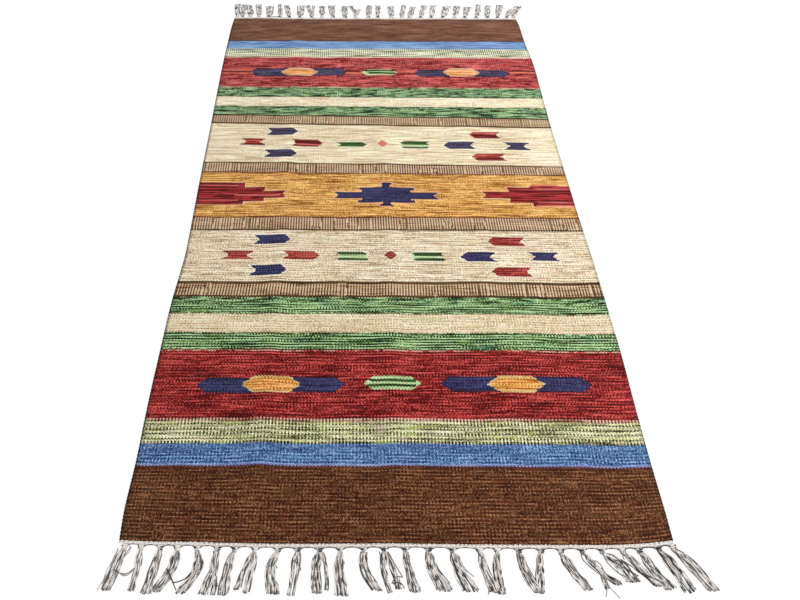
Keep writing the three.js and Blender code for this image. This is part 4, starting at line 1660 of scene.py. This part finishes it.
NEAR_STRAYS = [Stray(*row) for row in (
    (-450, 43, -441, 47, -430, 48, -417, 38, 0.85), (-446, 42, -438, 49, -429, 50, -419, 42, 0.5),
    (-433, 8, -435, 14, -440, 22, -446, 29, 0.7), (-431, 9, -434, 18, -441, 26, -446, 38, 0.35),
    (-452, 12, -455, 30, -460, 48, -466, 62, 0.6), (-386, 12, -384, 26, -382, 42, -388, 62, 0.7),
    (-368, 38, -362, 46, -356, 55, -349, 67, 1), (-366, 43, -360, 51, -354, 59, -348, 68, 0.8),
    (-354, 58, -345, 56, -336, 52, -328, 43, 1), (-354, 14, -356, 26, -357, 40, -366, 54, 0.7),
    (-322, 12, -317, 24, -315, 38, -326, 54, 0.9), (-326, 18, -321, 28, -320, 38, -330, 52, 0.5),
    (-297, 12, -296, 24, -296, 38, -302, 58, 0.85), (-289, 12, -290, 26, -289, 44, -284, 62, 0.8),
    (-266, 12, -274, 24, -274, 44, -280, 66, 0.7), (-232, 14, -238, 28, -244, 44, -247, 62, 0.8),
    (-206, 32, -201, 30, -196, 31, -193, 35, 0.9), (-206, 22, -207, 38, -206, 54, -204, 66, 0.7),
    (-168, 24, -163, 27, -158, 31, -155, 38, 0.95), (-158, 10, -156, 22, -158, 40, -163, 62, 0.7),
    (-133, 16, -133, 30, -133, 46, -130, 62, 0.95), (-128, 14, -129, 28, -127, 46, -123, 64, 0.9),
    (-121, 12, -116, 22, -117, 38, -115, 56, 0.8), (-98, 18, -97, 36, -92, 52, -89, 68, 0.8),
    (-91, 14, -92, 30, -88, 48, -82, 62, 0.7), (-60, 12, -60, 26, -52, 40, -42, 58, 0.8),
    (-50, 12, -50, 26, -46, 40, -34, 56, 0.85), (-30, 12, -26, 28, -24, 46, -16, 66, 0.9),
    (-16, 12, -8, 26, 1, 40, 6, 48, 0.8), (6, 48, -2, 47, -10, 54, -3, 61, 0.7),
    (-12, 56, -4, 55, 4, 57, 8, 63, 0.9), (9, 14, 13, 30, 15, 48, 19, 62, 0.85),
    (16, 12, 19, 30, 24, 46, 31, 58, 0.6), (45, 12, 44, 24, 50, 38, 61, 52, 0.95),
    (53, 14, 58, 28, 68, 42, 80, 56, 0.8), (86, 12, 84, 24, 94, 38, 108, 50, 1),
    (92, 14, 98, 26, 106, 36, 118, 46, 0.6), (126, 8, 133, 20, 134, 38, 142, 54, 0.95),
    (134, 20, 135, 38, 141, 54, 138, 70, 0.7), (158, 14, 155, 30, 158, 48, 166, 64, 0.8),
    (194, 12, 196, 28, 206, 46, 219, 60, 1), (190, 14, 192, 28, 200, 44, 214, 58, 0.7),
    (198, 24, 195, 40, 199, 52, 205, 60, 0.5), (227, 14, 222, 28, 218, 42, 214, 54, 0.7),
    (260, 12, 263, 24, 277, 40, 292, 54, 1), (267, 14, 272, 26, 284, 40, 297, 52, 0.7),
    (294, 10, 296, 22, 308, 34, 324, 46, 0.9), (306, 24, 314, 23, 322, 28, 326, 40, 0.7),
    (324, 46, 325, 56, 323, 64, 320, 72, 0.5), (325, 47, 328, 58, 334, 66, 341, 74, 0.5),
    (329, 44, 336, 46, 343, 50, 348, 52, 1), (329, 12, 334, 26, 348, 40, 366, 50, 0.85),
    (338, 20, 350, 28, 362, 36, 378, 44, 1), (346, 22, 358, 24, 370, 30, 381, 40, 0.9),
    (367, 10, 363, 10, 361, 14, 362, 22, 0.7), (366, 14, 374, 26, 388, 40, 404, 50, 0.7),
    (388, 8, 391, 20, 403, 34, 418, 48, 1), (382, 40, 393, 45, 404, 50, 415, 55, 1),
    (419, 8, 424, 24, 436, 46, 446, 68, 1), (427, 14, 434, 28, 446, 46, 457, 62, 0.6),
    (448, 12, 462, 20, 478, 36, 490, 60, 1), (447, 14, 454, 26, 470, 38, 484, 56, 0.8),
)]

FAR_BUNDLES = [Bundle(*row) for row in (
    (12, 7, -72, -87, 70, 12, 10), (12, 5, -65, -59, 50, 10, 10),
    (26, 6, 415, 428, 50, 11, 11), (26, 5, 420, 445, 44, 10, 10),
)]

FAR_STRAYS = [Stray(*row) for row in (
    (-442, 60, -436, 66, -428, 68, -420, 62, 0.5),
    (-434, 22, -426, 28, -416, 30, -406, 24, 0.7),
    (-412, 44, -404, 46, -398, 40, -396, 28, 0.8),
    (-408, 30, -402, 28, -398, 32, -396, 40, 0.8),
    (-350, 52, -342, 60, -334, 50, -333, 34, 0.4),
    (-343, 12, -332, 11, -322, 11, -311, 12, 0.9),
)]


class HeadPoint(NamedTuple):
    """Where the strands of a tassel pass between the heading and the end of the knot.

    gathered is how far they have come together, half_width how far the outer ones stay
    apart and out how far they are from the heading, with outer_out for the outer ones.
    The upper ones are high_lift higher, less crown of it at the sides.
    """

    gathered: float
    half_width: float
    out: float
    outer_out: float
    lift: float
    high_lift: float
    crown: float


HEAD_POINTS = [HeadPoint(*row) for row in (
    (0.0, 0.0, -0.4, 0.0, 0.2, 0.0, 0.0),
    (0.5, 0.0, 0.5, 0.3, 0.3, 0.0, 0.0),
    (1.0, 3.4, 2.1, -0.5, 0.4, 0.8, 0.0),
    (1.0, 3.4, 4.5, 0.0, 0.3, 2.2, 0.3),
    (1.0, 3.0, 8.0, 0.0, 0.2, 1.9, 0.0),
)]


@dataclass
class Fringe:
    """The warps beyond one heading, gathered into knots and hanging on as tassels."""

    plan: RugPlan
    which: End
    tassels: list[Tassel]
    bundles: list[Bundle]
    strays: list[Stray]
    seed: int
    shadiness: float = 1.0
    fullness: float = 1.08
    spot_spread: float = 3.1
    spot_rate: float = 2.3
    spot_least: float = 0.3
    spot_drift: float = 0.8
    spot_rates: Pair = (0.75, 1.25)
    spot_ramp: Pair = (0.25, 0.4)
    past_knot: Pair = (3.0, 1.5)
    knot_shade_place: float = 2.8
    knot_shade_reach: float = 0.9
    upper_light: Pair = (0.5, 1.0)
    lower_light: float = 0.2
    lower_shade: Pair = (0.72, 1.0)
    cut_dark: Pair = (0.6, 1.0)
    cut_ramp: Pair = (-0.7, 0.5)
    strand_spacing: float = 3.5
    upper_radius: float = 1.15
    lower_radius: float = 1.3
    fine_radius: float = 0.85
    fine_light: float = 0.6
    heading_out: float = 4.3
    knot_start: float = 1.0
    knot_length: float = 7.0
    knot_half_width: float = 4.2
    knot_half_height: float = 2.2
    knot_slant: float = 1.7
    wrap_turns: Pair = (-0.6, 2.5)
    wrap_middle: float = 0.95
    wrap_rise: float = 0.93
    wrap_widths: Pair = (0.92, 1.08)
    wrap_places: Pair = (0.42, 0.56)
    wrap_slants: Pair = (-1.2, 1.2)
    wrap_light: Pair = (0.6, 1.0)
    wrap_shade: float = 0.4
    neck: float = 3.0
    belly_share: float = 0.4
    own_scatter: float = 0.16
    tip_scatter: float = 0.30
    length_scatter: float = 1.6
    round_tip: float = 1.0
    layer_drops: Pair = (1.9, 1.3)
    crimp: float = 1.1
    lower_crimp: float = 0.6
    crimp_cycles: Pair = (1.6, 2.9)
    crimp_lift: float = 0.4
    full_turn: float = 6.3
    body_shares: tuple[float, ...] = (0.2, 0.3, 0.4, 0.5, 0.6, 0.7, 0.8, 0.9, 1.0)
    head_stations: int = 9
    body_stations: int = 17
    first_fan: float = 6.0
    last_fan: float = 3.0
    arch_inset: float = 3.4
    arch_shares: tuple[float, ...] = (0.0, 0.2, 0.5, 0.8, 1.0)
    arch_outs: tuple[float, ...] = (4.6, 1.5, 0.7, 1.5, 4.6)
    arch_heights: tuple[float, ...] = (2.6, 1.6, 1.6, 1.6, 2.6)
    stray_heights: tuple[float, ...] = (4.4, 3.8, 3.4, 2.8)
    outermost: Pair = (-458.0, 455.0)

    def places(self) -> Array:
        """Returns where the strands are read: closely in the head, evenly in the body."""
        neck = len(HEAD_POINTS) - 1
        head = np.linspace(0, neck, self.head_stations)
        body = np.linspace(neck, neck + len(self.body_shares), self.body_stations)
        return np.concatenate([head, body[1:]])

    def fans(self) -> list[Pair]:
        """Works out how far each tassel gathers warps to its left and right.

        Returns:
            The two distances of each tassel: halfway to its neighbours.
        """
        roots = np.array([tassel.root for tassel in self.tassels], float)
        gaps = np.diff(roots) / 2
        left = np.concatenate([[min(self.first_fan, gaps[0])], gaps])
        return list(zip(left, np.concatenate([gaps, [self.last_fan]])))

    def bundles_of(self, number: int) -> list[Bundle]:
        """Returns a tassel's bundles, or the whole tassel, from bend to flare, as one."""
        own = [bundle for bundle in self.bundles if bundle.tassel == number]
        return own or [Bundle(number, 12, *self.tassels[number][1:6])]

    def knots_of(self, bundle: Bundle, fan: Pair, place: Pair, generator: np.random.Generator) -> StrandSet:
        """Works out the points that a bundle's strands pass through.

        A strand leaves the heading at its own warp, closes into the knot, and then keeps
        near its own place u (-1 to 1) across the bundle. The upper strands are light and
        lie over a lower layer in their shade, and all are crimped.

        Args:
            bundle: The bundle.
            fan: How far the tassel gathers warps to its left and right.
            place: Which share of the fan this bundle takes, from and to.
            generator: The source of small differences.

        Returns:
            The points (x, out, height), the marks (lightness, shade, spots, end darkness,
            phase of the spots, knot) and the radii.
        """
        tassel = self.tassels[bundle.tassel]
        belly, flare = self.fullness * bundle.belly, self.fullness * bundle.flare
        upper = max(2, round(max(belly, flare) / self.strand_spacing))
        count = 2 * upper + 1
        number = np.arange(count)
        high = number < upper
        order = np.where(high, (number + 0.5) / upper, (number - upper + 0.5) / (upper + 1))
        u = 2 * order - 1
        at_heading = tassel.root - fan[0] + (fan[0] + fan[1]) * lerp(place[0], place[1], order)
        radius = np.where(high, self.upper_radius, self.lower_radius)
        own_u = np.clip(u + generator.normal(0, self.own_scatter, count), -1, 1)
        tip_u = np.clip(u + generator.normal(0, self.tip_scatter, count), -1, 1)
        shorter = np.abs(generator.normal(0, self.length_scatter, count)) + self.round_tip * np.abs(tip_u)
        length = bundle.reach - shorter
        rows = []
        for point in HEAD_POINTS:
            x = lerp(at_heading, tassel.root, point.gathered) + point.half_width * u
            out = self.heading_out + point.out + point.outer_out * np.abs(u)
            height = radius + point.lift + point.high_lift * high * (1 - point.crown * u * u)
            rows.append(np.stack([x, out, height], axis=-1))
        half_belly, half_flare = (max(size / 2 - self.upper_radius, 1.0) for size in (belly, flare))
        wave = generator.uniform(0, self.full_turn, count)
        cycles = self.full_turn * generator.uniform(*self.crimp_cycles, count)
        swing = self.crimp * np.where(high, 1.0, self.lower_crimp)
        bends = np.array([tassel.root, bundle.bend, bundle.tip], float)
        middles = curve_through(np.array([0, 0.5, 1]), bends)
        for share in self.body_shares:
            spread = lerp(self.neck, half_belly, smooth(share / self.belly_share))
            spread = lerp(spread, half_flare, ramp(share, self.belly_share, 1 - self.belly_share))
            x = middles(share) + lerp(own_u, tip_u, smooth(share)) * spread
            x = x + swing * np.sin(wave + cycles * share)
            rise = self.crimp_lift * (1 + np.sin(2 * wave + cycles * share)) * (1 - 0.7 * share)
            out = self.heading_out + self.knot_start + length * share
            rows.append(np.stack([x, out, radius + lerp(*self.layer_drops, share) * high + rise], axis=-1))
        shade = np.where(high, 0.0, generator.uniform(*self.lower_shade, count)) * self.shadiness
        phase = generator.uniform(0, self.full_turn) + self.spot_spread * generator.uniform(-1, 1, count)
        marks = np.stack([np.where(high, generator.uniform(*self.upper_light, count), self.lower_light),
                          shade, np.where(high, generator.uniform(self.spot_least, 1.0, count), 0.0),
                          generator.uniform(*self.cut_dark, count), phase + self.spot_drift * u,
                          0 * u + tassel.knot], axis=-1)
        return np.stack(rows, axis=1), marks, radius

    def warp_strands(self, generator: np.random.Generator) -> StrandSet:
        """Lays all the gathered warps.

        A strand's dark spots, painted shade between the strands, lie where sin(phase + rate
        place) is high, past the knot. The lower layer and the strands at a shaded knot carry
        painted shade too.

        Args:
            generator: The source of small differences.

        Returns:
            The paths as (x, out, height), their marks and their radii.
        """
        knots, marks, radii = [], [], []
        for number, fan in enumerate(self.fans()):
            own = self.bundles_of(number)
            total = sum(bundle.weight for bundle in own)
            used = 0
            for bundle in own:
                place = (used / total, (used + bundle.weight) / total)
                for group, found in zip((knots, marks, radii), self.knots_of(bundle, fan, place, generator)):
                    group.append(found)
                used += bundle.weight
        places = self.places()
        paths = through_points(np.concatenate(knots), places)
        light, shade, spots, ends, phase, knot = np.moveaxis(np.concatenate(marks)[:, None], -1, 0)
        wave = phase + self.spot_rate * generator.uniform(*self.spot_rates, (len(paths), 1)) * places
        spots = spots * ramp(np.sin(wave), *self.spot_ramp) * ramp(places, *self.past_knot)
        knotted = ramp(knot, 0.5, 0.5) * bell((places - self.knot_shade_place) / self.knot_shade_reach)
        # Painted shade: the lower layer, the spots and the strands at a shaded knot.
        dark_mark = np.maximum(shade * smooth(places / self.past_knot[0]), np.maximum(spots, knotted))
        cut = ends * ramp(places - places[-1], *self.cut_ramp)
        marks_along = np.stack(np.broadcast_arrays(light, dark_mark, cut, 1.0), axis=-1)
        return paths, marks_along, np.repeat(np.concatenate(radii)[:, None], len(places), axis=1)

    def knot_wraps(self, generator: np.random.Generator) -> StrandSet:
        """Lays the turn of each overhand knot: a short coil round the gathered warps.

        It is the ellipse (x, z) = (w cos t, h sin t) for one and a half turns, going
        outwards as it turns. One of its shoulders is in the shade, and the underside of the
        coil is darker too: both painted shade.

        Args:
            generator: The source of small differences.

        Returns:
            The paths as (x, out, height), their marks and their radii.
        """
        t = np.linspace(*self.wrap_turns, len(self.places())) * math.pi
        paths, marks = [], []
        for tassel in self.tassels:
            width = self.knot_half_width * generator.uniform(*self.wrap_widths)
            along = self.knot_length * generator.uniform(*self.wrap_places)
            middle = self.heading_out + self.knot_start + along
            slant = generator.uniform(*self.wrap_slants)
            x = tassel.root + width * np.cos(t)
            out = middle + slant * np.cos(t) + self.knot_slant * (t / math.pi - self.wrap_middle)
            z = self.upper_radius + self.knot_half_height * (1 + np.sin(t)) * self.wrap_rise
            paths.append(np.stack([x, out, z], axis=-1))
            side = generator.choice([-1, 1])
            # Painted shade on one shoulder, deeper at a shaded knot, and under the coil.
            shoulder = smooth((side * np.cos(t) + 2.0 * tassel.knot - 1.2) / 0.5)
            shoulder = min(1.0, self.wrap_shade + tassel.knot) * shoulder
            low = np.maximum(self.wrap_shade * smooth(-np.sin(t)), shoulder)
            light = generator.uniform(*self.wrap_light)
            marks.append(np.stack([0 * t + light, low, 0 * t, 0 * t + 1], axis=-1))
        return np.array(paths), np.array(marks), np.full((len(paths), len(t)), self.upper_radius)

    def edge_warps(self) -> StrandSet:
        """Lays the warps that arch under the heading, from each knot to the next, dark all along with painted
        shadow.

        Returns:
            The paths as (x, out, height), their marks and their radii.
        """
        out = self.heading_out + np.array(self.arch_outs)
        roots = np.array([tassel.root for tassel in self.tassels], float)[:, None]
        a, b = roots[:-1] + self.arch_inset, roots[1:] - self.arch_inset
        x = lerp(a, b, np.array(self.arch_shares))
        knots = np.stack(np.broadcast_arrays(x, out, self.arch_heights), axis=-1)
        paths = through_points(knots, np.linspace(0, 4, len(self.places())))
        return paths, *self.alike(paths, np.full(len(paths), self.shadiness))

    def alike(self, paths: Array, dark_mark: Array) -> tuple[Array, Array]:
        """Returns marks and radii for fine strands, each as dark as its painted shade all along."""
        marks = np.broadcast_arrays(self.fine_light, dark_mark[:, None], 0.0, np.ones(paths.shape[:2]))
        return np.stack(marks, axis=-1), np.full(paths.shape[:2], self.fine_radius)

    def stray_strands(self) -> StrandSet:
        """Lays the strays, which lie over the tassels, each as dark as its painted shade.

        Returns:
            The paths as (x, out, height), their marks and their radii.
        """
        table = np.array(self.strays, float)
        x, out = table[:, 0:8:2], table[:, 1:8:2]
        knots = np.stack(np.broadcast_arrays(x, out, self.stray_heights), axis=-1)
        paths = through_points(knots, np.linspace(0, 3, len(self.places())))
        return paths, *self.alike(paths, table[:, -1])

    def build(self, finish: Material) -> Object:
        """Builds the fringe.

        Args:
            finish: The cotton finish.

        Returns:
            The fringe's object.
        """
        generator = np.random.default_rng(self.seed)
        laid, marks, radii = (np.concatenate(arrays) for arrays in zip(
            self.warp_strands(generator), self.knot_wraps(generator),
            self.edge_warps(), self.stray_strands()))
        x, out, height = laid[..., 0], laid[..., 1], laid[..., 2]
        # Each point is measured out from the woven end beside its tassel's root.
        roots = np.repeat(x[:, :1], x.shape[1], axis=1)
        y = self.plan.end(self.which, np.clip(roots, *self.outermost)) + self.which.value * out
        z = np.maximum(height, radii + 0.05) + self.plan.lift(self.plan.warp_at(x, y), y)
        strands = Strands(np.stack([x, y, z], axis=-1), radii, marks, columns=5)
        return strands.parts().to_object(f"warp_tassels_{self.which.name.lower()}", self.plan, [finish])


# ---- studio


@dataclass
class Studio:
    """A pale floor, an even sky, one soft lamp and the camera."""

    plan: RugPlan
    floor_half: float = 14.0
    floor_grey: float = 0.9
    floor_glow: float = 0.88
    glow_strength: float = 1.05
    sky: float = 0.55
    lamp_power: float = 100.0
    lamp_size: float = 2.0
    lamp_place: tuple[float, float, float] = (2.7, 0.3, 2.3)
    lens: float = 22.02
    sensor: float = 36.0
    lens_shift: float = 0.0544
    pitch: float = 59.57
    eye: tuple[float, float, float] = (-66.8, -813.7, 889.2)

    def seen_by(self, wiring: Wiring, *rays: str) -> Socket:
        """Makes a number that is 1 for some rays and 0 for others.

        Args:
            wiring: The wiring to add it to.
            rays: The rays that have 1.

        Returns:
            The number.
        """
        outputs = wiring.add("LightPath").outputs
        seen = outputs[f"Is {rays[0]} Ray"]
        for ray in rays[1:]:
            seen = wiring.math("MAXIMUM", seen, outputs[f"Is {ray} Ray"])
        return seen

    def floor(self) -> Object:
        """Builds the floor: white where it is seen, with the object's shadow on it.

        Returns:
            The floor's object.
        """
        wiring = Wiring(bpy.data.materials.new("pale_floor"))
        grey = (self.floor_grey, self.floor_grey, self.floor_grey, 1)
        dull = wiring.add("BsdfDiffuse", grey)
        glow = wiring.add("Emission", WHITE, self.glow_strength)
        seen = wiring.times(self.seen_by(wiring, "Camera", "Glossy", "Transmission"), self.floor_glow)
        mix = wiring.add("MixShader", seen, dull.outputs[0], glow.outputs[0])
        wiring.add("OutputMaterial", mix.outputs[0])
        half = self.floor_half
        corners = [(-half, -half, 0), (half, -half, 0), (half, half, 0), (-half, half, 0)]
        mesh = bpy.data.meshes.new("floor")
        mesh.from_pydata(corners, [], [(0, 1, 2, 3)])
        mesh.materials.append(wiring.block)
        return link("floor", mesh)

    def light(self) -> None:
        """Lights the scene with an even sky, white where it is seen, and one soft lamp."""
        world = bpy.data.worlds.new("sky")
        bpy.context.scene.world = world
        wiring = Wiring(world)
        soft = wiring.add("Background", WHITE, self.sky)
        white = wiring.add("Background", WHITE, 1.0)
        seen = self.seen_by(wiring, "Camera", "Glossy")
        mix = wiring.add("MixShader", seen, soft.outputs[0], white.outputs[0])
        wiring.add("OutputWorld", mix.outputs[0])
        data = bpy.data.lights.new("soft_lamp", "AREA")
        data.shape = "DISK"
        data.size = self.lamp_size
        data.energy = self.lamp_power
        lamp = link("soft_lamp", data)
        lamp.location = self.lamp_place
        lamp.rotation_euler = Vector(self.lamp_place).to_track_quat("Z", "Y").to_euler()

    def camera(self) -> None:
        """Places the camera over the near end, looking down along the rug."""
        data = bpy.data.cameras.new("camera")
        data.lens = self.lens
        data.sensor_width = self.sensor
        data.shift_x = self.lens_shift
        data.clip_start = 0.01
        data.clip_end = 100
        camera = link("camera", data)
        camera.location = (Vector(self.eye) + self.plan.shift) * MM
        camera.rotation_euler = (math.radians(90 - self.pitch), 0, 0)
        bpy.context.scene.camera = camera


# ---- the rug


def report(piece: Object) -> None:
    """Logs a piece's name and how many triangles it has."""
    piece.data.calc_loop_triangles()
    log.info("%s: %d triangles", piece.name, len(piece.data.loop_triangles))


def main() -> None:
    """Builds the rug, the studio and the camera."""
    logging.basicConfig(level=logging.INFO, format="%(name)s %(message)s")
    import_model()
    plan = RugPlan()
    plan.settle_on("woven_field", "heading_near")
    log.info("plan to frame shift: %.2f, %.2f mm", plan.shift.x, plan.shift.y)

    studio = Studio(plan)
    studio.camera()
    studio.light()
    studio.floor()
    bpy.context.scene.view_settings.view_transform = "Standard"

    rug = WovenField(plan).build()
    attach(rug, BODY)
    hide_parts("woven_field")
    report(rug)

    # The third colour of each cotton is its dark mark: darker places on the heading's cord, painted shade on
    # the fringe's strands.
    cord_finish = CottonFinish("twined_cotton", 0xFFFAF3, 0xF0E5DA, 0x604230,
                               groove_shade=0.1, feel=Feel(0.00012, 0.9, 0.05)).build()
    warp_finish = CottonFinish("cotton_warp_ends", 0xFFFAF6, 0xD4CCC6, 0x3E3834, groove_shade=0.2).build()
    trimmings = []
    near_cord = TwinedHeading(plan, End.NEAR)
    far_cord = TwinedHeading(plan, End.FAR, row_pitch=2.9, strand_radius=1.2, wind_up=0.9, width=6.4)
    near_fringe = Fringe(plan, End.NEAR, NEAR_TASSELS, NEAR_BUNDLES, NEAR_STRAYS, 21)
    far_fringe = Fringe(plan, End.FAR, FAR_TASSELS, FAR_BUNDLES, FAR_STRAYS, 22, shadiness=0.7, fullness=1.2,
                        spot_spread=0.5, spot_rate=1.6, spot_least=0.6, heading_out=7.6)
    for cord, warps in ((near_cord, near_fringe), (far_cord, far_fringe)):
        side = cord.which.name.lower()
        heading = cord.build(cord_finish)
        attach(heading, BODY)
        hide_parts(f"heading_{side}")
        fringe = warps.build(warp_finish)
        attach(fringe, BODY)
        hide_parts(f"fringe_{side}")
        report(heading)
        report(fringe)
        trimmings += [heading, fringe]


if __name__ == "__main__":
    main()
